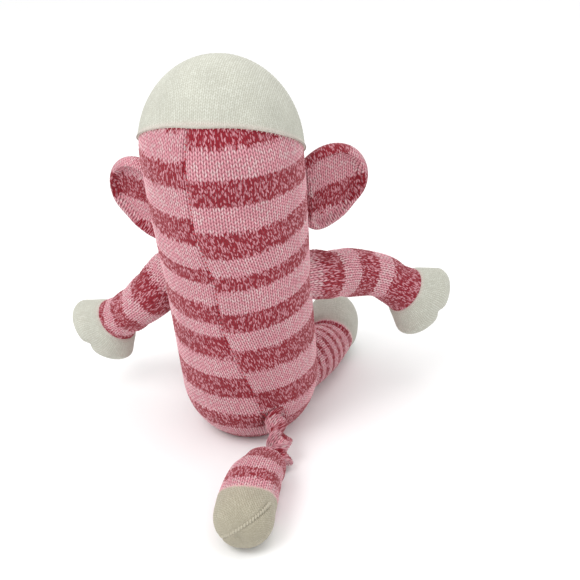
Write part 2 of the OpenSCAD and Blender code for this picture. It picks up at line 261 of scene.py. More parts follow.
def band_place(place, edges):
    """Counts stripes: whole numbers fall on the edges, and odd spaces are red."""
    return np.interp(place, edges, np.arange(len(edges)))


print("one stitch stands out", RELIEF, "mm")

# %% [markdown]
# ## Swept limbs
# Arms, legs and tail are knitted tubes filled until they are round. Each follows a smooth line
# from its joint outwards, with two radii, because hands and feet are wider one way.

# %% Functions for limbs
def curve(line, t):
    line = np.asarray(line, float)
    last = len(line) - 1
    i = min(last - 1, int(math.floor(t)))
    u = t - i
    a, b, c, d = (line[min(last, max(0, i + k))] for k in (-1, 0, 1, 2))
    return (2 * b + (c - a) * u + (2 * a - 5 * b + 4 * c - d) * u ** 2 + (3 * b - 3 * c + d - a) * u ** 3) / 2


def heading(line, t):
    last = len(line) - 1
    h = curve(line, min(last, t + 0.02)) - curve(line, max(0, t - 0.02))
    return h / np.linalg.norm(h)


def limb_stations(line, radii, flank, lead=0.0, inner=None):
    """Stations along a limb by arc length, from lead millimetres before its joint to its tip.
    With no lead the limb starts with a round end, as it does at its tip. Inside the body the limb
    can bend until it runs along inner."""
    last = len(line) - 1
    first = heading(line, 0.0)
    inner = first if inner is None else np.array(inner) / np.linalg.norm(inner)
    rows = []
    if not lead:
        h, r = heading(line, 0.0), np.array(radii[0], float)
        for k, a in enumerate(np.radians(np.arange(1, 90, 5))):
            centre = np.array(line[0], float) - h * min(r) * math.cos(a)
            rows.append((centre, h, r * math.sin(a), -1 + k / 20))
    for t in np.arange(-1 if lead else 0, last + 0.001, 0.05):
        h, centre = heading(line, max(0.0, t)), curve(line, max(0.0, t))
        if t < 0:
            centre = centre + lead * (first * (t + t * t / 2) - inner * t * t / 2)
            h = first * (1 + t) - inner * t
            h = h / np.linalg.norm(h)
        rows.append((centre, h, curve(radii, max(0.0, t)), t))
    h, r = rows[-1][1], np.array(radii[-1], float)
    for a in np.radians(np.arange(85, -1, -5)):
        centre = np.array(line[-1], float) + h * min(r) * math.cos(a)
        rows.append((centre, h, r * max(math.sin(a), 0.004), last))
    centre, head, size, t = (np.array([row[k] for row in rows], float) for k in range(4))
    step = np.hypot(np.linalg.norm(np.diff(centre, axis=0), axis=1), np.abs(np.diff(size[:, 0])))
    arc = np.concatenate([[0], np.cumsum(step)])
    arc -= arc[np.argmin(np.abs(t))]
    across = np.cross(head, flank)
    across /= np.linalg.norm(across, axis=1, keepdims=True)
    return {"arc": arc, "centre": centre, "head": head, "across": across,
            "up": np.cross(head, across), "size": size, "t": t}


def limb_points(st, arcs, angles, out=0.0):
    """Points round a limb: arcs is rows by columns or one value a row, angles one value a column."""
    arcs = np.asarray(arcs, float)
    if arcs.ndim == 1:
        arcs = np.repeat(arcs[:, None], len(angles), 1)

    def at(key):
        return np.stack([np.interp(arcs, st["arc"], st[key][:, k]) for k in range(st[key].shape[1])], -1)
    size = at("size")
    size = np.maximum(size + np.asarray(out)[..., None] * np.minimum(1, size / 6), 0.02)
    return (at("centre") + at("across") * (size[..., :1] * np.cos(angles)[..., None])
            + at("up") * (size[..., 1:] * np.sin(angles)[..., None]))


def arc_at(st, t):
    return float(np.interp(t, st["t"][:-18], st["arc"][:-18]))


ARMS = {s: limb_stations(ARM_LINE[s], ARM_RADII[s], ARM_FLANK[s], 30, [SIDE[s], -0.5, 0]) for s in SIDE}
LEGS = {s: limb_stations(LEG_LINE[s], LEG_RADII, [1, 0, 0], 24) for s in SIDE}
BULB = limb_stations(BULB_LINE, BULB_RADII, [1, 0, 0])
print("arm length", round(float(ARMS["right"]["arc"][-1])), "mm, cuff at", round(arc_at(ARMS["right"], CUFF)),
      "and", round(arc_at(ARMS["left"], CUFF)))

# %% [markdown]
# ## Stuffing by simulation
# Stuffed fabric swells between the places where it is sewn down. Each skin is first a coarse
# cloth, a little bigger than its pattern, held at its seams and blown up from inside. Only the
# way it moves is kept, and that is added to the fine grid of stitches.

# %% The cloth function
def sample(field, r, c, closed):
    """Reads a coarse grid of values at row r and column c, both in grid steps, with a smooth curve."""
    m, n = field.shape[:2]
    i, j = np.floor(r).astype(int), np.floor(c).astype(int)

    def weights(u):
        return [(1 - u) ** 3 / 6, (3 * u ** 3 - 6 * u ** 2 + 4) / 6,
                (-3 * u ** 3 + 3 * u ** 2 + 3 * u + 1) / 6, u ** 3 / 6]
    total = 0
    for a, wa in enumerate(weights(r - i)):
        row = np.clip(i + a - 1, 0, m - 1)
        for b, wb in enumerate(weights(c - j)):
            col = (j + b - 1) % n if closed else np.clip(j + b - 1, 0, n - 1)
            total = total + (wa * wb)[..., None] * field[row, col]
    return total


def puff(name, coarse, held, closed=True, growth=0.04, pressure=4.0, frames=16, limit=2.5):
    """How far each point of a coarse grid moves, in millimetres, as the stuffing pushes it out."""
    rows, cols = coarse.shape[:2]
    cloth = mesh_from("sim_" + name, coarse, grid_faces(rows, cols, closed))
    group = cloth.vertex_groups.new(name="held")
    for index in np.flatnonzero(held.ravel() > 0):
        group.add([int(index)], float(held.ravel()[index]), "REPLACE")
    simulated = cloth.modifiers.new("cloth", "CLOTH")
    use = simulated.settings
    use.quality = 5
    use.mass = 0.1
    use.tension_stiffness = use.compression_stiffness = 8
    use.bending_stiffness = 0.3
    use.vertex_group_mass = "held"
    use.shrink_min = -growth
    use.use_pressure = True
    use.uniform_pressure_force = pressure
    use.effector_weights.gravity = 0
    simulated.point_cache.frame_end = frames
    for step in range(1, frames + 1):
        bpy.context.scene.frame_set(step)
    done = cloth.evaluated_get(bpy.context.evaluated_depsgraph_get()).to_mesh()
    after = np.empty(len(done.vertices) * 3)
    done.vertices.foreach_get("co", after)
    moved = after.reshape(coarse.shape) / MM - coarse
    bpy.context.scene.frame_set(1)
    bpy.data.objects.remove(cloth, do_unlink=True)
    length = np.linalg.norm(moved, axis=-1, keepdims=True)
    moved = moved * np.minimum(1, limit / np.maximum(length, 1e-9))
    print("  stuffed", name, "and it moved up to", round(float(length.max()), 1), "mm")
    return moved


print("cloth is", "simulated")

# %% [markdown]
# ## Yarn and knitting as materials
# The stripes come from changing yarn: five or six courses of pale pink, then five or six of a
# red yarn twisted with a pale strand, which gives the marled look. Effects that several
# materials share are small node groups.

# %% Node helpers
def rgb(r, g, b):
    """A colour given in 0 to 255 as the linear values that shaders use."""
    shares = [v / 255 for v in (r, g, b)]
    return tuple(v / 12.92 if v <= 0.04 else ((v + 0.055) / 1.055) ** 2.4 for v in shares) + (1.0,)


def put(tree, socket, value):
    if value is None:
        return
    if isinstance(value, bpy.types.NodeSocket):
        tree.links.new(value, socket)
    else:
        socket.default_value = value


def calc(tree, operation, *values):
    node = tree.nodes.new("ShaderNodeMath")
    node.operation = operation
    for socket, value in zip(node.inputs, values):
        put(tree, socket, value)
    return node.outputs[0]


def mixed(tree, share, first, second):
    node = tree.nodes.new("ShaderNodeMix")
    node.data_type = "RGBA"
    for key, value in (("Factor_Float", share), ("A_Color", first), ("B_Color", second)):
        put(tree, next(s for s in node.inputs if s.identifier == key), value)
    return next(s for s in node.outputs if s.identifier == "Result_Color")


def spots(tree, scale, vector=None, detail=2.0):
    node = tree.nodes.new("ShaderNodeTexNoise")
    node.inputs["Scale"].default_value = scale
    node.inputs["Detail"].default_value = detail
    put(tree, node.inputs["Vector"], vector)
    return node.outputs["Fac"]


def group(name, inputs, outputs):
    tree = bpy.data.node_groups.new(name, "ShaderNodeTree")
    for kind, label, value in inputs:
        tree.interface.new_socket(label, in_out="INPUT", socket_type=kind).default_value = value
    for kind, label in outputs:
        tree.interface.new_socket(label, in_out="OUTPUT", socket_type=kind)
    return tree, tree.nodes.new("NodeGroupInput").outputs, tree.nodes.new("NodeGroupOutput").inputs


def use(tree, made, **values):
    node = tree.nodes.new("ShaderNodeGroup")
    node.node_tree = made
    for key, value in values.items():
        put(tree, node.inputs[key.replace("_", " ")], value)
    return node.outputs


FLOAT, COLOUR, VECTOR = "NodeSocketFloat", "NodeSocketColor", "NodeSocketVector"
print("node helpers ready")

# %% [markdown]
# ### The stitch group
# It takes stitch counts and gives back the height of the yarn, which row of stitches this is, a
# chance value that is the same all over one leg of one stitch, and a mask of the gaps between legs,
# where the marl group paints shade.

# %% Group: knit stitch
tree, given, result = group("Knit stitch", [(VECTOR, "Stitch", (0, 0, 0)), (FLOAT, "Rise", V_RISE)],
                            [(FLOAT, "Height"), (FLOAT, "Off centre"), (FLOAT, "Chance"), (FLOAT, "Strand"),
                             (FLOAT, "Gap")])
split = tree.nodes.new("ShaderNodeSeparateXYZ")
put(tree, split.inputs[0], given["Stitch"])
wale, course = split.outputs[0], split.outputs[1]
fold = calc(tree, "ABSOLUTE", calc(tree, "MULTIPLY_ADD", calc(tree, "FRACT", wale), 2.0, -1.0))
twice = calc(tree, "MULTIPLY", wale, 2.0)
leg = calc(tree, "SINE", calc(tree, "MULTIPLY", calc(tree, "FRACT", twice), math.pi))
climb = calc(tree, "SUBTRACT", course, calc(tree, "MULTIPLY", fold, given["Rise"]))
row = calc(tree, "FLOOR", calc(tree, "ADD", climb, 0.5))
wave = calc(tree, "COSINE", calc(tree, "MULTIPLY", climb, 2 * math.pi))
ridge = calc(tree, "MULTIPLY_ADD", wave, 0.35, 0.65)
height = calc(tree, "MULTIPLY", leg, ridge)
chance = tree.nodes.new("ShaderNodeTexWhiteNoise")
chance.noise_dimensions = "2D"
join = tree.nodes.new("ShaderNodeCombineXYZ")
put(tree, join.inputs[0], calc(tree, "FLOOR", twice))
put(tree, join.inputs[1], row)
put(tree, chance.inputs["Vector"], join.outputs[0])
strand = tree.nodes.new("ShaderNodeTexWhiteNoise")
strand.noise_dimensions = "3D"
part = tree.nodes.new("ShaderNodeCombineXYZ")
put(tree, part.inputs[0], calc(tree, "FLOOR", calc(tree, "MULTIPLY", wale, 5.0)))
put(tree, part.inputs[1], calc(tree, "FLOOR", calc(tree, "MULTIPLY", climb, 1.5)))
put(tree, part.inputs[2], 7.3)
put(tree, strand.inputs["Vector"], part.outputs[0])
# Gap is a mask of the low places between stitch legs; the marl group darkens them as painted shade.
gap = tree.nodes.new("ShaderNodeMapRange")
for key, value in (("Value", height), ("From Min", 0.08), ("From Max", 0.5), ("To Min", 1.0),
                   ("To Max", 0.0)):
    put(tree, gap.inputs[key], value)
put(tree, result["Height"], height)
put(tree, result["Off centre"], calc(tree, "SUBTRACT", climb, row))
put(tree, result["Chance"], chance.outputs["Value"])
put(tree, result["Strand"], strand.outputs["Value"])
put(tree, result["Gap"], gap.outputs[0])
STITCH = tree
print("group:", tree.name)

# %% [markdown]
# ### The stripe group
# A stripe can only change from one row of stitches to the next, so its edge follows the Vs. Here
# and there a strand of the other yarn shows through, which makes the edge ragged.

# %% Group: stripe
tree, given, result = group("Stripe", [(FLOAT, "Band", 0.0), (FLOAT, "Off centre", 0.0),
                                       (FLOAT, "Chance", 0.5), (FLOAT, "Row step", 0.15),
                                       (FLOAT, "Ragged", 0.2)], [(FLOAT, "Red")])
at_row = calc(tree, "SUBTRACT", given["Band"], calc(tree, "MULTIPLY", given["Off centre"], given["Row step"]))
loose = calc(tree, "MULTIPLY", calc(tree, "SUBTRACT", given["Chance"], 0.5), given["Ragged"])
EVEN_START = 40.0                   # an even count that keeps the sum above nothing
space = calc(tree, "FLOOR", calc(tree, "ADD", at_row, calc(tree, "ADD", loose, EVEN_START)))
odd = calc(tree, "MODULO", space, 2.0)
put(tree, result["Red"], odd)
STRIPE = tree
print("group:", tree.name)

# %% [markdown]
# ### The marl group
# A marled yarn is two strands twisted together. Each leg of a stitch shows mostly one of them.
# It also paints shade into the gaps between legs, mixing them towards a darker colour.

# %% Group: marl
tree, given, result = group("Marl", [(COLOUR, "Strand", (1, 1, 1, 1)), (COLOUR, "Fleck", (1, 1, 1, 1)),
                                     (FLOAT, "Share", 0.3), (FLOAT, "Chance", 0.5), (FLOAT, "Gap", 0.0),
                                     (COLOUR, "Gap colour", (0, 0, 0, 1)), (FLOAT, "Gap depth", 0.5)],
                            [(COLOUR, "Colour")])
fleck = tree.nodes.new("ShaderNodeMapRange")
for key, value in (("Value", calc(tree, "SUBTRACT", given["Share"], given["Chance"])), ("From Min", -0.04),
                   ("From Max", 0.1)):
    put(tree, fleck.inputs[key], value)
yarn = mixed(tree, fleck.outputs[0], given["Strand"], given["Fleck"])
coords = tree.nodes.new("ShaderNodeTexCoord").outputs["Object"]
fade = calc(tree, "MULTIPLY_ADD", spots(tree, 60.0, coords), 0.3, 0.85)
shade = tree.nodes.new("ShaderNodeHueSaturation")
put(tree, shade.inputs["Value"], fade)
put(tree, shade.inputs["Color"], yarn)
# Painted shade: the gaps between stitch legs are mixed towards the dark gap colour.
shadow = calc(tree, "MULTIPLY", given["Gap"], given["Gap depth"])
gap_shaded = mixed(tree, shadow, shade.outputs[0], given["Gap colour"])
put(tree, result["Colour"], gap_shaded)
MARL = tree
print("group:", tree.name)

# %% [markdown]
# ### The fibre group
# Yarn is hairy and twisted. This gives the fine bump of the strands along each leg.

# %% Group: fibre
tree, given, result = group("Fibre", [(VECTOR, "Stitch", (0, 0, 0)), (FLOAT, "Height", 0.5),
                                      (FLOAT, "Strength", 0.5), (FLOAT, "Depth", 0.0003)],
                            [(VECTOR, "Normal")])
twist = tree.nodes.new("ShaderNodeTexWave")
twist.bands_direction = "DIAGONAL"
for key, value in (("Scale", 1.6), ("Distortion", 3.0), ("Detail", 2.0), ("Vector", given["Stitch"])):
    put(tree, twist.inputs[key], value)
fuzz = spots(tree, 1600.0, tree.nodes.new("ShaderNodeTexCoord").outputs["Object"], 3.0)
high = calc(tree, "ADD", calc(tree, "MULTIPLY", twist.outputs["Fac"], 0.25),
            calc(tree, "MULTIPLY_ADD", fuzz, 0.5, given["Height"]))
bump = tree.nodes.new("ShaderNodeBump")
for key, value in (("Height", high), ("Strength", given["Strength"]), ("Distance", given["Depth"])):
    put(tree, bump.inputs[key], value)
put(tree, result["Normal"], bump.outputs[0])
FIBRE = tree
print("group:", tree.name)

# %% [markdown]
# ## Materials
# Sheen stands for the loose fibres that catch light at the edges of the soft skins.

# %% Materials
def material(name, roughness, sheen=0.0, sheen_tint=(1, 1, 1, 1)):
    made = bpy.data.materials.new(name)
    made.use_nodes = True
    shader = made.node_tree.nodes["Principled BSDF"]
    shader.inputs["Roughness"].default_value = roughness
    shader.inputs["Sheen Weight"].default_value = sheen
    shader.inputs["Sheen Roughness"].default_value = 0.55
    shader.inputs["Sheen Tint"].default_value = sheen_tint
    shader.inputs["Specular IOR Level"].default_value = 0.25
    return made, made.node_tree, shader


def knit_counts(tree):
    node = tree.nodes.new("ShaderNodeUVMap")
    node.uv_map = "Knit"
    return node.outputs[0]


RED, RED_FLECK = rgb(138, 18, 36), rgb(202, 138, 148)
PINK, PINK_FLECK = rgb(213, 147, 158), rgb(218, 186, 188)
CREAM, CREAM_FLECK = rgb(187, 188, 177), rgb(200, 202, 192)


def striped_material(name, row_step=0.15, ragged=0.1):
    made, tree, shader = material(name, 0.88, 0.25, rgb(255, 225, 228))
    counts = knit_counts(tree)
    stitch = use(tree, STITCH, Stitch=counts)
    band = tree.nodes.new("ShaderNodeAttribute")
    band.attribute_name = "Band"
    red = use(tree, STRIPE, Band=band.outputs["Fac"], Off_centre=stitch["Off centre"],
              Chance=stitch["Chance"], Row_step=row_step, Ragged=ragged)["Red"]
    # The gap colours below are painted shade between stitch legs: dark red in the red yarn, dark pink in the
    # pink.
    dark = use(tree, MARL, Strand=RED, Fleck=RED_FLECK, Share=0.34, Chance=stitch["Strand"],
               Gap=stitch["Gap"], Gap_colour=rgb(86, 22, 34), Gap_depth=0.55)["Colour"]
    pale = use(tree, MARL, Strand=PINK, Fleck=PINK_FLECK, Share=0.36, Chance=stitch["Strand"],
               Gap=stitch["Gap"], Gap_colour=rgb(122, 54, 66), Gap_depth=0.95)["Colour"]
    put(tree, shader.inputs["Base Color"], mixed(tree, red, pale, dark))
    put(tree, shader.inputs["Normal"], use(tree, FIBRE, Stitch=counts, Height=stitch["Height"])["Normal"])
    return made


def cream_material(name, strand, fleck, gap_shade_colour, gap_shade_strength=0.6):
    made, tree, shader = material(name, 0.9, 0.2, rgb(250, 248, 240))
    counts = knit_counts(tree)
    stitch = use(tree, STITCH, Stitch=counts)
    # The gaps between stitch legs get painted shade in the colour given for them.
    colour = use(tree, MARL, Strand=strand, Fleck=fleck, Share=0.4, Chance=stitch["Strand"],
                 Gap=stitch["Gap"], Gap_colour=gap_shade_colour, Gap_depth=gap_shade_strength)["Colour"]
    blush = tree.nodes.new("ShaderNodeAttribute")
    blush.attribute_name = "Blush"
    colour = mixed(tree, blush.outputs["Fac"], colour, rgb(226, 178, 180))
    speck = tree.nodes.new("ShaderNodeTexVoronoi")
    speck.inputs["Scale"].default_value = 34.0
    put(tree, speck.inputs["Vector"], tree.nodes.new("ShaderNodeTexCoord").outputs["Object"])
    dot = calc(tree, "MULTIPLY", calc(tree, "LESS_THAN", speck.outputs["Distance"], 0.032), 0.6)
    put(tree, shader.inputs["Base Color"], mixed(tree, dot, colour, rgb(92, 86, 80)))
    put(tree, shader.inputs["Normal"], use(tree, FIBRE, Stitch=counts, Height=stitch["Height"])["Normal"])
    return made


def thread_material(name, colour, fleck):
    made, tree, shader = material(name, 0.7, 0.2)
    coords = tree.nodes.new("ShaderNodeTexCoord").outputs["Object"]
    put(tree, shader.inputs["Base Color"], mixed(tree, spots(tree, 1500.0, coords), colour, fleck))
    put(tree, shader.inputs["Normal"], use(tree, FIBRE, Stitch=coords, Height=0.5, Strength=0.4)["Normal"])
    return made


STRIPED = striped_material("striped_knit")
# The cream's gap colour is painted shade between stitch legs.
CREAM_KNIT = cream_material("cream_knit", CREAM, CREAM_FLECK, rgb(150, 146, 128))
# The foot copy of the cream is darker, with darker gaps: painted shade for the feet.
SHADED_FOOT_KNIT = cream_material("cream_knit_foot_shaded", rgb(174, 172, 162), rgb(185, 183, 174), rgb(138, 135, 124), 0.4)
# The tail copy of the cream is darker, with darker gaps: painted shade for the tail tip.
SHADED_TAIL_KNIT = cream_material("cream_knit_tail_shaded", rgb(172, 165, 146), rgb(186, 179, 160), rgb(112, 106, 88), 0.7)
RED_THREAD = thread_material("red_thread", rgb(150, 26, 44), rgb(200, 70, 86))
# The tail's toe thread is darkened to match the tail tip: painted shade.
SHADED_TAIL_THREAD = thread_material("cream_thread_tail_shaded", rgb(156, 149, 130), rgb(192, 186, 168))
BLUSH_THREAD = thread_material("blush_thread", rgb(206, 164, 160), rgb(220, 196, 188))

FILL, fill_tree, fill_shader = material("fibre_fill", 0.95, 0.4)
fill_coords = fill_tree.nodes.new("ShaderNodeTexCoord").outputs["Object"]
put(fill_tree, fill_shader.inputs["Base Color"],
    mixed(fill_tree, spots(fill_tree, 200.0, fill_coords, 6.0), rgb(246, 245, 240), rgb(224, 222, 216)))
fluff = spots(fill_tree, 400.0, fill_coords, 8.0)
put(fill_tree, fill_shader.inputs["Normal"],
    use(fill_tree, FIBRE, Stitch=fill_coords, Height=fluff, Depth=0.001)["Normal"])

GLOSS, gloss_tree, gloss_shader = material("eye_gloss", 0.12)
gloss_coords = gloss_tree.nodes.new("ShaderNodeTexCoord").outputs["Object"]
put(gloss_tree, gloss_shader.inputs["Base Color"],
    mixed(gloss_tree, spots(gloss_tree, 90.0, gloss_coords), rgb(12, 11, 12), rgb(24, 20, 20)))
put(gloss_tree, gloss_shader.inputs["Roughness"],
    calc(gloss_tree, "MULTIPLY_ADD", spots(gloss_tree, 300.0, gloss_coords), 0.12, 0.05))
gloss_shader.inputs["Coat Weight"].default_value = 0.6

WASHER, washer_tree, washer_shader = material("washer_plastic", 0.45)
washer_coords = washer_tree.nodes.new("ShaderNodeTexCoord").outputs["Object"]
put(washer_tree, washer_shader.inputs["Base Color"],
    mixed(washer_tree, spots(washer_tree, 150.0, washer_coords), rgb(236, 236, 230), rgb(222, 222, 216)))
put(washer_tree, washer_shader.inputs["Normal"],
    use(washer_tree, FIBRE, Stitch=washer_coords, Height=0.5, Strength=0.15)["Normal"])
print("materials:", [m.name for m in bpy.data.materials if m.use_nodes][-9:])


# %% [markdown]
# ## Finishing a piece
# Each piece rides on its body, stands for its CAD nodes, and says which finish it takes. A piece
# given a joint list instead of a body name keeps its place in the world and rides on nothing.

# %% Functions that finish a piece
def finish(piece, made, body, nodes):
    piece.data.materials.clear()
    piece.data.materials.append(made)
    if isinstance(body, str):
        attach(piece, body)
    else:
        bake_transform(piece)
    if nodes:
        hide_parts(*nodes)
    return piece


def thread_run(name, points, ups, radius=0.5, pitch=4.0, length=3.0, lift=0.35, skew=0.0):
    """A row of short stitches that follow a line of points over fabric whose outward way is ups."""
    points, ups = np.asarray(points, float), np.asarray(ups, float)
    steps = np.concatenate([[0], np.cumsum(np.linalg.norm(np.diff(points, axis=0), axis=1))])
    count = max(1, int(steps[-1] / pitch))
    sides, along = 6, 9
    all_points, all_faces = [], []
    for k in range(count):
        middle = (k + 0.5) * steps[-1] / count
        reach = length * (0.94 + 0.12 * ((k * 7) % 5) / 4)
        rings = []
        for q in np.linspace(-1, 1, along):
            place = middle + q * reach / 2 * math.cos(skew)
            p = np.array([np.interp(place, steps, points[:, i]) for i in range(3)])
            n = np.array([np.interp(place, steps, ups[:, i]) for i in range(3)])
            n /= np.linalg.norm(n)
            ahead = np.array([np.interp(place + 0.5, steps, points[:, i]) for i in range(3)])
            behind = np.array([np.interp(place - 0.5, steps, points[:, i]) for i in range(3)])
            f = (ahead - behind) / max(np.linalg.norm(ahead - behind), 1e-9)
            b = np.cross(n, f)
            b /= max(np.linalg.norm(b), 1e-9)
            p = p + b * q * reach / 2 * math.sin(skew) + n * (lift * (1 - q ** 4) - 0.4 * q ** 4)
            thick = radius * math.sqrt(max(0.03, 1 - q ** 6))
            way = f * math.cos(skew) + b * math.sin(skew)
            flank = np.cross(n, way)
            angle = np.arange(sides) * 2 * math.pi / sides
            rings.append(p + thick * (np.cos(angle)[:, None] * flank + np.sin(angle)[:, None] * n))
        all_faces.append(grid_faces(along, sides, True) + k * along * sides)
        all_points.append(np.array(rings).reshape(-1, 3))
    points = np.concatenate(all_points)
    points[:, 2] = np.maximum(points[:, 2], 0.05)
    return mesh_from(name, points, np.concatenate(all_faces))


print("finishing functions ready")

# %% [markdown]
# ## The body
# On the real toy the head and body are one sock cut open at the back and closed again with a
# seam, so the stripes of the two sides don't meet. The tail is caught in the seam's lower end.
# The limbs pull the fabric in where they are sewn on.

# %% Body skin
TALL = np.linspace(0.0, 284.0, 1200)
ARC = np.concatenate([[0], np.cumsum(np.hypot(np.diff(TALL), np.diff(tube_radius(TALL))))])
WALES_A_SIDE = 49


def droop(s):
    """How far the courses hang lower at the flanks than at the back: low on the body, and where
    the head is pulled down towards the face."""
    return 8.0 * (1 - ease((s - 40) / 110)) * np.clip(s / 45, 0, 1) + 10.0 * ease((s - 188) / 42)


def dents(points):
    """How far the body's skin is pulled in where something is sewn to it."""
    depth = np.zeros(points.shape[:-1])
    for side in SIDE:
        for centre, radius, pull in ((ARM_LINE[side][0], ARM_R, 2.2), (LEG_LINE[side][0], LEG_R, 2.0)):
            away = np.linalg.norm(points - np.array(centre, float), axis=-1) - radius - 0.5
            depth = np.maximum(depth, pull * np.exp(-(away / 3.2) ** 2))
    away = np.linalg.norm(points - np.array(STEM_LINE[0], float), axis=-1) - STEM_R
    return np.maximum(depth, 2.0 * np.exp(-(np.maximum(away, 0) / 4.0) ** 2))


def body_place(s, turn):
    return np.clip(s - droop(s) * np.minimum(1, 1 - np.cos(turn)), 0, None)


coarse_s = np.interp(np.linspace(0, ARC[-1], 76), ARC, TALL)[:, None] + np.zeros((1, 80))
coarse_turn = np.linspace(-math.pi, math.pi, 80, endpoint=False)[None, :] + np.zeros((76, 1))
coarse_body = on_tube(body_place(coarse_s, coarse_turn), coarse_turn)
flat_seat = coarse_body[..., 2] < 0.0
coarse_body[..., 2] = np.maximum(coarse_body[..., 2], 0.0)
held = np.where(flat_seat, 1.0, 0.0)
held = np.maximum(held, (dents(coarse_body) > 1.4) * 0.9)
from_seam = np.abs((coarse_turn - seam_turn(coarse_s) + math.pi) % (2 * math.pi) - math.pi) * 50
held = np.maximum(held, ((from_seam < 2.4) & ((np.arange(76) % 3) == 0)[:, None]) * 1.0)
_, ty, ts = to_tube(coarse_body)
held = np.maximum(held, (np.abs(ts - CAP_LINE - ty * CAP_TILT) < 2.4) * 1.0)
BODY_MOVED = puff("body", coarse_body, held, growth=0.02, pressure=3.0, limit=1.6)


def body_moved(s, turn):
    rows = np.interp(np.interp(s, TALL, ARC), np.linspace(0, ARC[-1], 76), np.arange(76))
    return sample(BODY_MOVED, rows, (turn + math.pi) / (2 * math.pi) * 80, True)


def body_panel(side):
    way = SIDE[side]
    courses = int(ARC[-1] / COURSE)
    rows, cols = courses * PER_STITCH + 1, WALES_A_SIDE * PER_STITCH + 1
    s = np.interp(np.linspace(0, courses * COURSE, rows), ARC, TALL)[:, None] + np.zeros((1, cols))
    share = np.linspace(0, 1, cols)[None, :]
    back = seam_turn(s)
    turn = back + (math.pi - way * back) * way * share
    place = body_place(s, turn)
    from_back, from_front = np.abs(turn - back) * 49, (math.pi - np.abs(turn)) * 49
    out = -1.5 * np.exp(-(from_back / 1.7) ** 2) - 1.3 * np.exp(-(from_front / 1.7) ** 2)
    points = on_tube(place, turn, out)
    _, depth_y, along = to_tube(points)
    points = on_tube(place, turn, out - dents(points)) + body_moved(s, turn)
    above = along - CAP_LINE - depth_y * CAP_TILT
    wale = share * WALES_A_SIDE + np.zeros((rows, 1)) + 100 * way
    course = np.linspace(0, courses, rows)[:, None] + np.zeros((1, cols)) + (0.4 if way > 0 else 0)
    stripes = LEFT_STRIPES if way > 0 else RIGHT_STRIPES
    return knit(side + "_panel_knit", points, wale, course, band_place(s, stripes), keep=above < 6.0,
                flip=way > 0)


for side in SIDE:
    finish(body_panel(side), STRIPED, "torso", [side + "_body_panel"])
print("body skin:", WALES_A_SIDE * 2, "wales round,", int(ARC[-1] / COURSE), "courses long")

# %% [markdown]
# ## The cap
# The crown is the cream heel of the sock. Its stitches are finer, it overlaps the stripes a
# little, and its edge is rolled under and sewn down, high at the back and low at the face.

# %% Cap
CAP_CENTRE = 216.0


def on_ray(across, over, out):
    """Where a ray from inside the head meets its surface: across is left or right of the middle,
    over goes from the back over the crown to the face."""
    dx, dy, ds = np.sin(across), np.cos(across) * np.cos(over), np.cos(across) * np.sin(over)
    low, high = np.zeros_like(dx), np.full_like(dx, 120.0)
    for _ in range(30):
        middle = (low + high) / 2
        inside = np.hypot(dx, dy) * middle < tube_radius(CAP_CENTRE + ds * middle)
        inside &= CAP_CENTRE + ds * middle < BODY_LEN
        low, high = np.where(inside, middle, low), np.where(inside, high, middle)
    return dx * (low + out), dy * (low + out), CAP_CENTRE + ds * (low + out)


def cap_skin():
    wales, courses, per = 84, 134, 3
    cap_low = CAP_LINE - 0.8
    rows, cols = courses * per + 1, wales * per + 1
    across = np.radians(np.linspace(-89, 89, cols))[None, :] + np.zeros((rows, 1))
    over = np.radians(np.linspace(12, 206, rows))[:, None] + np.zeros((1, cols))
    x, y, s = on_ray(across, over, 1.1)
    above = s - cap_low - y * CAP_TILT
    keep = above > 0
    s = np.where(keep, s, cap_low + y * CAP_TILT)
    turn = np.arctan2(x, y)
    edge = np.exp(-(np.maximum(above, 0) / 3.0) ** 2)
    r = tube_radius(s) + 1.1 + 0.5 * edge
    x, y = np.where(keep, x, r * np.sin(turn)), np.where(keep, y, r * np.cos(turn))
    points = from_tube(x * (1 + 0.008 * edge), y * (1 + 0.008 * edge), s)
    points = points + body_moved(np.minimum(s, 270), turn) * ease((275 - s) / 30)[..., None]
    wale = np.linspace(0, wales, cols)[None, :] + np.zeros((rows, 1))
    course = np.linspace(0, courses, rows)[:, None] + np.zeros((1, cols))
    fade = 1 - ease((np.abs(across) - 1.2) / 0.3) * 0.7
    blush = 0.2 * np.exp(-(np.maximum(above, 0) / 2.5) ** 2)
    return knit("crown_cap_knit", points, wale, course, relief=0.3 * fade, keep=keep, flip=True,
                values={"Blush": blush})


def cap_edge_line(rise, out, count=240):
    turn = np.linspace(0, 2 * math.pi, count, endpoint=False)
    s = np.full(count, CAP_LINE)
    for _ in range(6):
        s = CAP_LINE + tube_radius(s) * np.cos(turn) * CAP_TILT + rise
    return on_tube(s, turn, out) + body_moved(s, (turn + math.pi) % (2 * math.pi) - math.pi), turn, s


def loop_tube(name, line, ups, width, height, per=10, values=None):
    """A closed hem that follows a loop of points; ups is the fabric's outward way."""
    ahead = np.roll(line, -1, 0) - np.roll(line, 1, 0)
    ahead /= np.linalg.norm(ahead, axis=1, keepdims=True)
    flank = np.cross(ahead, ups)
    flank /= np.linalg.norm(flank, axis=1, keepdims=True)
    angle = np.arange(per) * 2 * math.pi / per
    points = (line[:, None] + height * np.sin(angle)[None, :, None] * ups[:, None]
              + width * np.cos(angle)[None, :, None] * flank[:, None])
    points = np.concatenate([points, points[:1]], 0)
    total = np.linalg.norm(np.diff(points[:, 0], axis=0), axis=1).sum()
    steps = np.linspace(0, total / FINE_WALE, len(points))
    wale = steps[:, None] + np.zeros((1, per + 1))
    course = np.linspace(0, 3, per + 1)[None, :] + np.zeros((len(points), 1))
    return knit(name, points, wale, course, closed=True, relief=0.15, values=values)


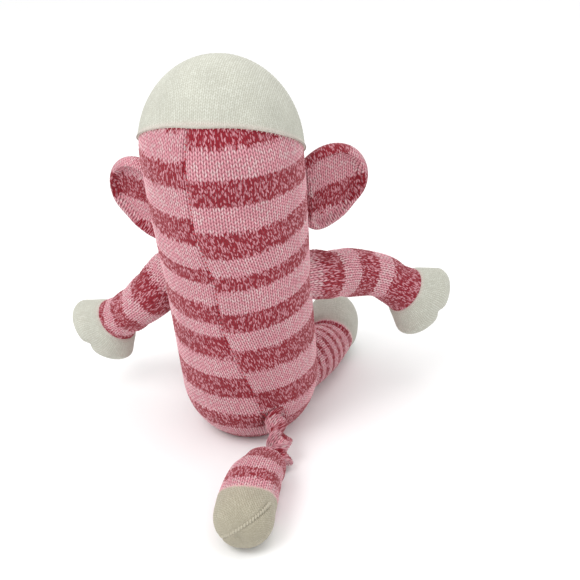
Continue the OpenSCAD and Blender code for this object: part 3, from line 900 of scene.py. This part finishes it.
cap = cap_skin()
line, turn, s = cap_edge_line(0.5, 1.0)
ups = on_tube(s, turn, 10) - on_tube(s, turn, 0)
ups /= np.linalg.norm(ups, axis=1, keepdims=True)
hem = loop_tube("crown_cap_hem", line, ups, 1.2, 0.7, values={"Blush": np.full((241, 10), 0.12)})
finish(cap, CREAM_KNIT, "torso", ["crown_cap"])
finish(hem, CREAM_KNIT, "torso", [])
line, turn, s = cap_edge_line(-1.2, 0.4, 120)
finish(thread_run("cap_seam_stitches", np.concatenate([line, line[:1]]), np.concatenate([ups[::2], ups[:1]]),
                  radius=0.35, pitch=3.2, length=2.2, skew=1.2, lift=0.2),
       BLUSH_THREAD, "torso", ["cap_seam_thread"])
print("cap:", len(cap.data.polygons), "faces")

# %% [markdown]
# ## Seams of the body
# The seams are closed with small ladder stitches that almost disappear into the knitting.

# %% Seam stitches
def seam_line(place_turn, low, high, out):
    s = np.linspace(low, high, 160)
    turn = place_turn(s)
    line = on_tube(body_place(s, turn), turn, out) + body_moved(s[:, None], turn[:, None])[:, 0]
    ups = on_tube(body_place(s, turn), turn, out + 5) - on_tube(body_place(s, turn), turn, out)
    return line, ups


line, ups = seam_line(seam_turn, 46, 268, -1.2)
finish(thread_run("back_seam_stitches", line, ups, radius=0.33, pitch=4.2, length=2.6, skew=1.1, lift=0.25),
       RED_THREAD, "torso", ["back_seam_thread"])
line, ups = seam_line(lambda s: np.full_like(s, math.pi), 40, 158, -1.0)
finish(thread_run("front_seam_stitches", line, ups, radius=0.33, pitch=4.2, length=2.6, skew=1.1, lift=0.25),
       RED_THREAD, "torso", ["front_seam_thread"])
print("seams sewn")

# %% [markdown]
# ## Arms
# Each arm is a striped tube that ends in a cream mitten. The mitten is pinched in at the middle
# of its end, where its toe seam is, and it has a dimple in its palm.

# %% Limb pieces
def limb_skin(name, st, first, last_arc, wales, stripes=None, fine=False, shape=None, moved=None, values=None,
              per=PER_STITCH):
    """One knitted tube of a limb, from one arc to another. shape gives how far it stands out."""
    size = FINE_COURSE if fine else COURSE
    courses = max(2, int(round((last_arc - first) / size)))
    rows, cols = courses * per + 1, wales * per
    arcs = np.linspace(first, last_arc, rows)
    angles = np.arange(cols) * 2 * math.pi / cols
    grid_arcs = arcs[:, None] + np.zeros((1, cols))
    out = shape(grid_arcs, angles[None, :] + np.zeros((rows, 1))) if shape else np.zeros((rows, cols))
    points = limb_points(st, arcs, angles, out)
    if moved is not None:
        low, high, field = moved
        r = (grid_arcs - low) / (high - low) * (len(field) - 1)
        points = points + sample(field, r, angles[None, :] / (2 * math.pi) * field.shape[1] + 0 * r, True)
    wale = np.linspace(0, wales, cols + 1)[None, :] + np.zeros((rows, 1))
    course = (arcs / size)[:, None] + np.zeros((1, cols + 1))
    ring = np.interp(arcs, st["arc"], st["size"].min(1))
    relief = (0.28 if fine else RELIEF) * np.clip(ring / 12, 0.1, 1)[:, None] + np.zeros((1, cols))
    band = band_place(grid_arcs, stripes) if stripes is not None else None
    extra = {key: value(grid_arcs, angles[None, :] + 0 * grid_arcs) for key, value in (values or {}).items()}
    return knit(name, points, wale, course, band, closed=True, relief=relief, values=extra)


def limb_puff(name, st, low, high, pinned, growth=0.05, limit=1.6, pressure=4.0):
    """Coarse cloth of a whole limb; pinned says which places are sewn down."""
    rows, cols = int((high - low) / 4) + 1, 28
    arcs = np.linspace(low, high, rows)
    angles = np.arange(cols) * 2 * math.pi / cols
    coarse = limb_points(st, arcs, angles, np.zeros((rows, cols)))
    coarse[..., 2] = np.maximum(coarse[..., 2], 0.0)
    held = pinned(arcs[:, None] + np.zeros((1, cols)), angles[None, :] + np.zeros((rows, 1)), coarse)
    return low, high, puff(name, coarse, held, True, growth, pressure, 14, limit)


def body_ring(st, out=0.0, count=72):
    """The loop where a limb's skin comes out of the body, and its outward way."""
    angles = np.arange(count) * 2 * math.pi / count
    arcs = np.linspace(st["arc"][0], 30, 300)
    points = limb_points(st, arcs, angles, np.full((300, count), out))
    x, y, s = to_tube(points)
    outside = np.hypot(x, y) > tube_radius(np.clip(s, 0.5, 289)) - 1.0
    first = np.argmax(outside, 0)
    loop = points[first, np.arange(count)]
    centre = np.stack([np.interp(arcs[first], st["arc"], st["centre"][:, k]) for k in range(3)], -1)
    x, y, s = to_tube(loop)
    away = from_tube(x * 1.2, y * 1.2, s) - loop
    away /= np.linalg.norm(away, axis=1, keepdims=True)
    ups = (loop - centre) / np.linalg.norm(loop - centre, axis=1, keepdims=True) + away
    ups /= np.linalg.norm(ups, axis=1, keepdims=True)
    return np.concatenate([loop, loop[:1]]), np.concatenate([ups, ups[:1]]), float(np.median(arcs[first]))


def sewn_in(root):
    """The pull of the stitches that hold a limb's root, and a soft crease just beyond it."""
    def shape(arcs, angles):
        return -1.3 * np.exp(-((arcs - root) / 3.5) ** 2) + 0.0 * angles
    return shape


def mitten(cuff, notch):
    """A hand's shape beyond its cuff: fuller than the sleeve, notched at its end, with a hollow palm."""
    def shape(arcs, angles):
        grown = ease((arcs - cuff) / 6)
        far = ease((arcs - cuff - 14) / 16)
        off_middle = np.sin(angles) if notch == "up" else np.cos(angles)
        middle = np.exp(-(off_middle / 0.2) ** 2)
        palm = np.exp(-((arcs - cuff - 22) / 7) ** 2 - ((angles - 4.2) / 0.6) ** 2)
        rim = -0.9 * np.exp(-((arcs - cuff) / 1.2) ** 2)
        return rim + 0.9 * grown - 2.6 * far * middle - 1.6 * palm + 0.9 * far * (1 - middle)
    return shape


def joint_blend(st, body, back, ahead):
    joint, way = st["centre"][np.argmin(np.abs(st["arc"]))], st["head"][np.argmin(np.abs(st["arc"]))]
    return ["torso", body, tuple((joint - way * back) * MM), tuple((joint + way * ahead) * MM)]


for side in SIDE:
    st, body = ARMS[side], side + "_arm"
    cuff, end = arc_at(st, CUFF), float(st["arc"][-1])
    loop, ups, root = body_ring(st)
    moved = limb_puff(side + "_arm", st, root - 6, end, lambda arcs, angles, p: np.where(
        (arcs < root + 1) | (arcs > end - 1) | (np.abs(arcs - cuff) < 2.2), 1.0, 0.0))
    sleeve = limb_skin(side + "_arm_knit", st, float(st["arc"][0]) + 1, cuff + 0.6, 30, ARM_STRIPES[side],
                       shape=sewn_in(root), moved=moved)
    hand = limb_skin(side + "_hand_knit", st, cuff - 0.2, end, 50, fine=True, per=3, moved=moved,
                     shape=mitten(cuff, "up" if side == "right" else "across"),
                     values={"Blush": lambda arcs, angles: 0.5 * np.exp(-((arcs - cuff) / 1.6) ** 2)})
    finish(sleeve, STRIPED, joint_blend(st, body, 6, 14), [side + "_arm_sleeve"])
    finish(hand, CREAM_KNIT, body, [side + "_hand"])
    finish(thread_run(side + "_shoulder_stitches", loop, ups, radius=0.4, pitch=5.0, length=3.2, skew=0.9,
                      lift=0.2),
           RED_THREAD, "torso", [side + "_shoulder_thread"])
    print(side, "arm: cuff at", round(cuff), "mm, root at", round(root), "mm")

# %% [markdown]
# ## Legs
# The legs come from a thinner sock with narrow stripes, and the feet are its smooth cream toes.

# %% Legs
LEG_STRIPES = sorted([-60 + 9.4 * k for k in range(18)] + [-60 + 9.4 * k + 5.4 for k in range(18)])
for side in SIDE:
    st, body = LEGS[side], side + "_leg"
    ankle, end = arc_at(st, ANKLE), float(st["arc"][-1])
    loop, ups, root = body_ring(st)
    moved = limb_puff(side + "_leg", st, root - 6, end, lambda arcs, angles, p: np.where(
        (arcs < root + 1) | (arcs > end - 1) | (p[..., 2] < 0.8), 1.0, 0.0), limit=1.4)
    sleeve = limb_skin(side + "_leg_knit", st, -23.0, ankle + 0.6, 36, LEG_STRIPES, shape=sewn_in(root),
                       moved=moved)
    foot = limb_skin(side + "_foot_knit", st, ankle - 0.2, end, 60, fine=True, per=3, moved=moved,
                     shape=lambda arcs, angles: 0.8 * ease((arcs - ankle) / 6),
                     values={"Blush": lambda arcs, angles: 0.3 * np.exp(-((arcs - ankle) / 1.6) ** 2)})
    finish(sleeve, STRIPED, joint_blend(st, body, 6, 14), [side + "_leg_sleeve"])
    # The feet take the darker cream copy, which is painted shade.
    finish(foot, SHADED_FOOT_KNIT, body, [side + "_foot"])
    finish(thread_run(side + "_hip_stitches", loop, ups, radius=0.4, pitch=5.0, length=3.2, skew=0.9,
                      lift=0.2),
           RED_THREAD, "torso", [side + "_hip_thread"])
    print(side, "leg: ankle at", round(ankle), "mm")

# %% [markdown]
# ## Tail
# The tail starts as an unstuffed tube that has been twisted until it is thin, and ends in a
# stuffed part with a cream toe. The toe is closed by a raised seam.

# %% Tail
STEM = limb_stations(STEM_LINE, [[1, 1]] * 4, [1, 0, 0], 14)


def stem_skin():
    wales, per = 11, PER_STITCH
    arcs = np.arange(-13, arc_at(STEM, 3) + 3, COURSE / per)
    cols = wales * per
    angles = np.arange(cols) * 2 * math.pi / cols
    total = arc_at(STEM, 3)
    centre, across, up = (np.stack([np.interp(arcs, STEM["arc"], STEM[key][:, k]) for k in range(3)], -1)
                          for key in ("centre", "across", "up"))
    twist = arcs / total * 2.3 * math.pi + 0.9
    wide = 9.2 + 1.4 * np.exp(-((arcs - total + 5) / 5) ** 2) - 1.6 * np.exp(-((arcs - 3) / 4) ** 2)
    thin = 5.0 + 1.4 * np.exp(-((arcs - total + 5) / 5) ** 2)
    tuck = np.sqrt(np.clip((arcs[-1] - arcs) / 7, 0.001, 1))
    wide, thin = wide * tuck, thin * tuck
    a = angles[None, :]
    along_wide = wide[:, None] * np.cos(a) * (1 - 0.12 * np.sin(a) ** 2)
    along_thin = thin[:, None] * np.sin(a) * (1 - 0.3 * np.exp(-(np.cos(a) / 0.35) ** 2))
    c, n = np.cos(twist)[:, None], np.sin(twist)[:, None]
    points = (centre[:, None] + (along_wide * c - along_thin * n)[..., None] * across[:, None]
              + (along_wide * n + along_thin * c)[..., None] * up[:, None])
    wale = np.linspace(0, wales, cols + 1)[None, :] + np.zeros((len(arcs), 1))
    course = (arcs / COURSE)[:, None] + np.zeros((1, cols + 1))
    band = (arcs[:, None] + 40) / 9.5 + 0.5 * np.cos(a) + 0.35
    return knit("tail_stem_knit", points, wale, course, band, closed=True, relief=0.4)


def tail_shape(arcs, angles):
    """Small folds where the stuffed end is gathered onto the stem."""
    return -1.1 * np.exp(-((arcs + 12) / 7) ** 2) * (0.5 + 0.5 * np.cos(9 * angles))


def from_top(angles):
    """0 on the tail's upper side, 1 on its flanks and below."""
    return np.minimum(1, 1 + np.cos(angles))


def toe_droop(angles):
    return (TOE_DROOP[0] + TOE_DROOP[1] * np.sin(angles)) * from_top(angles)


def toe_at(angles):
    return TOE_EDGE - toe_droop(angles)


TOE_WAY = np.array([0.75, -0.35, 1.0]) / np.linalg.norm([0.75, -0.35, 1.0])
TOE_OFF = 1.2                        # how far below the middle of the toe its seam passes


def bulb_skin(name, cream):
    """The whole stuffed end has one grid; each of its two skins keeps its own part."""
    low, high = float(BULB["arc"][0]), float(BULB["arc"][-1])
    size, wales, per = (FINE_COURSE, 56, 3) if cream else (COURSE, 38, PER_STITCH)
    courses = int((high - low) / size)
    rows, cols = courses * per + 1, wales * per
    arcs = np.linspace(low, high, rows)
    angles = np.arange(cols) * 2 * math.pi / cols
    grid_arcs, grid_angles = arcs[:, None] + np.zeros((1, cols)), angles[None, :] + np.zeros((rows, 1))
    past = grid_arcs - toe_at(grid_angles)
    seam = np.abs(toe_line_distance(limb_points(BULB, arcs, angles, np.zeros((rows, cols)))))
    out = tail_shape(grid_arcs, grid_angles) + (0.35 * ease(past / 1.5) if cream else 0.0)
    groove = 1.4 * np.exp(-(seam / 1.8) ** 2) * ease((grid_arcs - 46) / 6)
    out = out - (groove if cream else 0.0)
    points = limb_points(BULB, arcs, angles, out)
    r = (grid_arcs - TAIL_MOVED[0]) / (TAIL_MOVED[1] - TAIL_MOVED[0]) * (len(TAIL_MOVED[2]) - 1)
    points = points + sample(TAIL_MOVED[2], r, grid_angles / (2 * math.pi) * TAIL_MOVED[2].shape[1], True)
    wale = np.linspace(0, wales, cols + 1)[None, :] + np.zeros((rows, 1))
    course = (arcs / size)[:, None] + np.zeros((1, cols + 1))
    ring = np.interp(arcs, BULB["arc"], BULB["size"].min(1))
    relief = ((0.34 if cream else RELIEF) * np.clip(ring / 12, 0.1, 1))[:, None] + np.zeros((1, cols))
    if cream:
        return knit(name, points, wale, course, closed=True, relief=relief, keep=past > 0,
                    values={"Blush": 0.55 * np.exp(-(np.maximum(past, 0) / 1.5) ** 2)})
    band = band_place(grid_arcs + toe_droop(grid_angles), BULB_STRIPES)
    return knit(name, points, wale, course, band, closed=True, relief=relief, keep=past < 1.2)


def toe_line_distance(points):
    """How far points are from the slanting plane of the toe's seam."""
    return (points - np.array(BULB_LINE[3])) @ TOE_WAY + TOE_OFF


def tail_held(arcs, angles, p):
    """The stuffed end is held where it is gathered, at its toe and where it rests on the floor."""
    return np.where((arcs < -12) | (arcs > BULB["arc"][-1] - 1) | (p[..., 2] < 0.6), 1.0, 0.0)


TAIL_MOVED = limb_puff("tail", BULB, float(BULB["arc"][0]), float(BULB["arc"][-1]), tail_held, limit=1.2)
stem_end = np.array(STEM_LINE[3]) * MM
finish(stem_skin(), STRIPED, ["tail_stem", "tail_end", tuple(stem_end - [0, 0.009, 0]),
                                              tuple(stem_end + [0, 0.004, 0])], ["tail_stem"])
finish(bulb_skin("tail_sleeve_knit", False), STRIPED, "tail_end", ["tail_sleeve"])
# The tail tip takes the darker cream copy, which is painted shade.
finish(bulb_skin("tail_tip_knit", True), SHADED_TAIL_KNIT, "tail_end", ["tail_tip"])

toe_ahead = np.cross(TOE_WAY, [1, 0, 0])
toe_ahead /= np.linalg.norm(toe_ahead)
toe_turn = np.radians(np.linspace(-80, 100, 120))[:, None]
toe_size = math.sqrt((BULB_R + 0.4) ** 2 - TOE_OFF ** 2)
toe_line = np.array(BULB_LINE[3]) - TOE_OFF * TOE_WAY + toe_size * (
    np.cos(toe_turn) * toe_ahead + np.sin(toe_turn) * np.cross(TOE_WAY, toe_ahead))
toe_ups = (toe_line - np.array(BULB_LINE[3])) / BULB_R
# The toe seam uses the darkened cream thread, which is painted shade.
finish(thread_run("tail_toe_stitches", toe_line, toe_ups, radius=0.85, pitch=2.0, length=3.2, lift=0.3,
                  skew=0.8),
       SHADED_TAIL_THREAD, "tail_end", ["tail_toe_thread"])
loop, ups, root = body_ring(limb_stations(STEM_LINE, [[8, 8]] * 4, [1, 0, 0], 14), count=36)
finish(thread_run("tail_root_stitches", loop, ups, radius=0.4, pitch=4.0, length=3.0, skew=0.9, lift=0.2),
       RED_THREAD, "torso", ["tail_root_thread"])
print("tail made")

# %% [markdown]
# ## Ears
# Each ear is a puffed half round with a plump rim. A row of gathers pulls its middle in, so
# that it cups. The stripes run across it.

# %% Ears
EAR_STRIPES = {"right": [-60, -18, -1.5, 20, 60], "left": [-70, -60, -22, -7, 12, 28, 60]}


def on_ear(points, side):
    way = SIDE[side]
    p = turned(points, -EAR_SPREAD - EAR_SWEEP if way > 0 else 180 + EAR_SPREAD + EAR_SWEEP)
    return on_head(p + np.array([0, -HEAD_R - EAR_T / 2 - EAR_GAP, 0]), EAR_AT[side], way * EAR_SPREAD)


def ear_face(side, face):
    """face is 1 for the back and -1 for the front."""
    rows, cols = 150, 300
    theta = np.arange(cols) * 2 * math.pi / cols
    reach = np.minimum(EAR_R, (EAR_REACH + EAR_T / 2) / np.maximum(-np.cos(theta), 1e-3))
    degrees = np.degrees(theta)
    reach = reach + 5.0 * np.exp(-((degrees - 245) / 22) ** 2) - 2.5 * np.exp(-((degrees - 310) / 22) ** 2)
    share = 1 - (1 - np.linspace(0.004, 1, rows)) ** 1.6
    rho = share[:, None] * reach[None, :]
    x, z = EAR_REACH + rho * np.cos(theta), rho * np.sin(theta)
    inset = (1 - share)[:, None] * reach[None, :]
    half = EAR_T / 2
    rim = half * np.sqrt(np.clip(1 - (1 - np.clip(inset / half, 0, 1)) ** 2, 0, 1))
    dip = (5.6 if face > 0 else 1.8) * ease((inset - 3.8) / 4.6)
    gathers = 0.5 * np.cos(7.0 * np.arctan2(z, x + 8) * 2) * np.exp(-((x - 2) / 8) ** 2)
    thick = rim - dip + gathers * ease(inset / 5)
    grain = SIDE[side] * face
    points = np.stack([x, grain * thick, z], -1)
    bend = np.arcsin(np.clip(1 - inset / half, 0, 1))
    round_rim = np.where(inset < half, reach[None, :] - half + half * bend, rho)
    wale = (EAR_REACH + round_rim * np.cos(theta)) / WALE + 40 * (1 + face)
    course = round_rim * np.sin(theta) / COURSE
    relief = 0.5 * ease(inset / 1.2) + 0.02
    band = band_place(z - 0.07 * x, EAR_STRIPES[side])
    wale = np.concatenate([wale, wale[:, :1]], 1)
    course = np.concatenate([course, course[:, :1]], 1)
    name = side + ("_ear_back_knit" if face > 0 else "_ear_front_knit")
    return knit(name, on_ear(points, side), wale, course, band, closed=True, relief=relief, flip=grain > 0,
                floor=False)


def ear_blend(side):
    """Two places on the ear, its root and a point farther out, listed with the torso and the ear's body."""
    root, free = (on_ear(np.array([[x, 0.0, 0.0]]), side)[0] * MM for x in (-6.0, 9.0))
    return ["torso", side + "_ear", tuple(root), tuple(free)]


for side in SIDE:
    finish(ear_face(side, 1), STRIPED, ear_blend(side), [side + "_ear_back"])
    finish(ear_face(side, -1), STRIPED, ear_blend(side), [side + "_ear_front"])
    height = np.linspace(-17, 17, 40)
    line, outside = (on_head(np.stack([0 * height, 0 * height - HEAD_R - out, height], -1), EAR_AT[side],
                             SIDE[side] * EAR_SPREAD) for out in (0.3, 6))
    finish(thread_run(side + "_ear_stitches", line, outside - line, radius=0.4, pitch=4.0, length=3.0,
                      skew=0.8, lift=0.3),
           RED_THREAD, "torso", [side + "_ear_thread"])
print("ears made")

# %% [markdown]
# ## Face
# The muzzle is a stuffed oval patch of cream knitting. Mouth and nostrils are sewn in red, and
# the eyes are glossy domes with a post that a washer holds inside the head.

# %% Face
def muzzle_points(lean_in, wrap, out):
    cos_l = np.cos(lean_in)
    return np.stack([(MUZZLE_HALF + out) * np.sin(lean_in),
                     -HEAD_R + MUZZLE_R / 2 - (MUZZLE_R + out) * cos_l * np.cos(wrap),
                     (MUZZLE_R + out) * cos_l * np.sin(wrap)], -1)


def muzzle_skin():
    wales, courses, per = 46, 52, 3
    rows, cols = courses * per + 1, wales * per + 1
    lean_in = np.radians(np.linspace(-89, 89, cols))[None, :] + np.zeros((rows, 1))
    wrap = np.radians(np.linspace(-125, 125, rows))[:, None] + np.zeros((1, cols))
    flat = muzzle_points(lean_in, wrap, 0)
    mouth = -1.1 * np.exp(-((flat[..., 2] + 7) / 1.5) ** 2) * ease((24 - np.abs(flat[..., 0])) / 5)
    points = on_head(muzzle_points(lean_in, wrap, mouth * (np.cos(wrap) > 0)), MUZZLE_AT, 0)
    x, y, s = to_tube(points)
    keep = np.hypot(x, y) > tube_radius(s) - 1.0
    wale = np.linspace(0, wales, cols)[None, :] + np.zeros((rows, 1))
    course = np.linspace(0, courses, rows)[:, None] + np.zeros((1, cols))
    fade = 1 - 0.8 * ease((np.abs(lean_in) - 1.15) / 0.35)
    return knit("muzzle_knit", points, wale, course, relief=0.28 * fade, keep=keep, floor=False)


def muzzle_line(x, z):
    """Points and outward ways on the muzzle at the given places across and up."""
    lean_in = np.arcsin(np.clip(x / MUZZLE_HALF, -1, 1))
    wrap = np.arcsin(np.clip(z / (MUZZLE_R * np.cos(lean_in)), -1, 1))
    low, high = (on_head(muzzle_points(lean_in, wrap, out), MUZZLE_AT, 0) for out in (-0.4, 4.0))
    return low, high - low


finish(muzzle_skin(), CREAM_KNIT, "torso", ["muzzle_skin"])
x = np.linspace(-22, 22, 60)
line, ups = muzzle_line(x, -7 + 0 * x)
finish(thread_run("mouth_stitches", line, ups, radius=0.7, pitch=4.0, length=4.2, lift=0.5), RED_THREAD,
       "torso", ["mouth_stitch"])
nostrils = []
for side in (-1, 1):
    x = np.linspace(side * 6 - 2.4, side * 6 + 2.4, 12)
    line, ups = muzzle_line(x, 9 + 0 * x)
    nostrils.append(thread_run("nostril_stitches_" + ("left" if side > 0 else "right"), line, ups, radius=0.7,
                               pitch=4.8, length=4.6, lift=0.5))
    finish(nostrils[-1], RED_THREAD, "torso", ["nostril_stitches"] if side < 0 else [])
for side in SIDE:
    for node, made, slot in ((side + "_eye", GLOSS, "eye_gloss"),
                             (side + "_eye_washer", WASHER, "washer_plastic")):
        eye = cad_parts[node]
        eye.data.materials.clear()
        eye.data.materials.append(made)
print("face made")

# %% [markdown]
# ## Stuffing
# Loose polyester fibre fills every skin. It is never seen, but it is a piece of the toy, so each
# filling is its own lumpy form just inside its skin.

# %% Stuffing
UNDER_SKIN = 4.2                    # how far a limb's filling stays below its skin


def lumps(points, size=0.35):
    wave = np.sin(points[..., 0] * 0.9) * np.sin(points[..., 1] * 0.8 + 1) * np.sin(points[..., 2] * 0.7 + 2)
    return size * wave


def filling(name, points, body, nodes, closed=True):
    rows, cols = points.shape[:2]
    centre = points.mean((0, 1))
    points = points + (points - centre) * (lumps(points) / 20)[..., None]
    points[..., 2] = np.maximum(points[..., 2], 2.2)
    finish(mesh_from(name, points, grid_faces(rows, cols, closed)), FILL, body, nodes)


inner_s = np.linspace(3.2, 285.5, 90)[:, None] + np.zeros((1, 72))
inner_turn = np.linspace(0, 2 * math.pi, 72, endpoint=False)[None, :] + np.zeros((90, 1))
inner_out = -np.minimum(4.0, tube_radius(inner_s) - 0.05)
inner = on_tube(inner_s, inner_turn, inner_out - dents(on_tube(inner_s, inner_turn)))
filling("body_fill", inner, "torso", ["body_stuffing"])
for side in SIDE:
    for word, st in (("arm", ARMS[side]), ("leg", LEGS[side])):
        arcs = np.linspace(-4.5, float(st["arc"][-1]) - 4.5, 40)
        angles = np.arange(32) * 2 * math.pi / 32
        filling(side + "_" + word + "_fill", limb_points(st, arcs, angles, np.full((40, 32), -UNDER_SKIN)),
                side + "_" + word, [side + "_" + word + "_stuffing"])
    theta, level = np.arange(40) * 2 * math.pi / 40, np.linspace(-1, 1, 13)
    reach = np.minimum(EAR_R, (EAR_REACH + EAR_T / 2) / np.maximum(-np.cos(theta), 1e-3)) - 5.0
    ring = np.sqrt(np.clip(1 - np.abs(level) ** 3, 0, 1))[:, None] * reach[None, :] + 0.02
    depth = level[:, None] * 0.8 - 1.6 * SIDE[side] + 0 * ring
    ear = np.stack([EAR_REACH + ring * np.cos(theta), depth, ring * np.sin(theta)], -1)
    filling(side + "_ear_fill", on_ear(ear, side), ear_blend(side), [side + "_ear_stuffing"])
arcs = np.linspace(float(BULB["arc"][0]) + 5, float(BULB["arc"][-1]) - 4.5, 36)
angles = np.arange(32) * 2 * math.pi / 32
filling("tail_fill", limb_points(BULB, arcs, angles, np.full((36, 32), -UNDER_SKIN)), "tail_end",
        ["tail_stuffing"])
lean_in = np.radians(np.linspace(-88, 88, 24))[:, None] + np.zeros((1, 32))
wrap = np.linspace(0, 2 * math.pi, 32, endpoint=False)[None, :] + np.zeros((24, 1))
filling("muzzle_fill", on_head(muzzle_points(lean_in, wrap, -3.5), MUZZLE_AT, 0), "torso",
        ["muzzle_stuffing"])
print("stuffing made")

# %% [markdown]
# ## Floor, light and camera
# A plain pale floor and large soft lights, as in a small studio. The camera stands behind the
# toy, a little to its right, and looks down on it.

# %% Stage
floor_mesh = bpy.data.meshes.new("floor")
half = 4.0
floor_mesh.from_pydata([(-half, -half, 0), (half, -half, 0), (half, half, 0), (-half, half, 0)], [],
                       [(0, 1, 2, 3)])
floor = bpy.data.objects.new("floor", floor_mesh)
bpy.context.scene.collection.objects.link(floor)
PAPER, paper_tree, paper_shader = material("floor_paper", 0.95)
paper_coords = paper_tree.nodes.new("ShaderNodeTexCoord").outputs["Object"]
put(paper_tree, paper_shader.inputs["Base Color"],
    mixed(paper_tree, spots(paper_tree, 3.0, paper_coords), (0.95, 0.95, 0.95, 1), (0.93, 0.93, 0.93, 1)))
floor.data.materials.append(PAPER)
floor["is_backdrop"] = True

scene = bpy.context.scene
scene.view_settings.view_transform = "Standard"
world = bpy.data.worlds.new("studio")
scene.world = world
world.use_nodes = True
world.node_tree.nodes["Background"].inputs["Color"].default_value = (1.0, 1.0, 1.0, 1)
world.node_tree.nodes["Background"].inputs["Strength"].default_value = 1.0


def softbox(name, place, aim, size, power):
    light = bpy.data.lights.new(name, "AREA")
    light.shape = "DISK"
    light.size = size
    light.energy = power
    lamp = bpy.data.objects.new(name, light)
    lamp.location = place
    lamp.rotation_euler = (Vector(aim) - Vector(place)).to_track_quat("-Z", "Y").to_euler()
    scene.collection.objects.link(lamp)


softbox("key", (0.45, 0.6, 1.1), (0, 0, 0.12), 0.7, 6.0)
softbox("top", (-0.3, -0.1, 1.3), (0, 0, 0.12), 0.9, 3.0)

AIM, DISTANCE = Vector((-0.0333, 0.012, 0.109)), 0.7
AZIMUTH, ELEVATION, ROLL = math.radians(191), math.radians(27.5), math.radians(3.13)
level = Vector((math.sin(AZIMUTH), -math.cos(AZIMUTH), 0))
away = level * math.cos(ELEVATION) + Vector((0, 0, math.sin(ELEVATION)))
right = (-away).cross(Vector((0, 0, 1))).normalized()
above = right.cross(-away)
tilted_right = right * math.cos(ROLL) - above * math.sin(ROLL)
tilted_up = right * math.sin(ROLL) + above * math.cos(ROLL)
lens = bpy.data.cameras.new("camera")
lens.lens, lens.sensor_width, lens.clip_start = 62.9, 36.0, 0.02
camera = bpy.data.objects.new("camera", lens)
camera.matrix_world = Matrix((tilted_right, tilted_up, away)).transposed().to_4x4()
camera.location = AIM + away * DISTANCE
scene.collection.objects.link(camera)
scene.camera = camera
print("stage set")

# %% [markdown]
# ## Sizes
# The box round the model's visible pieces is measured.

# %% Measure the sizes
low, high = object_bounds()
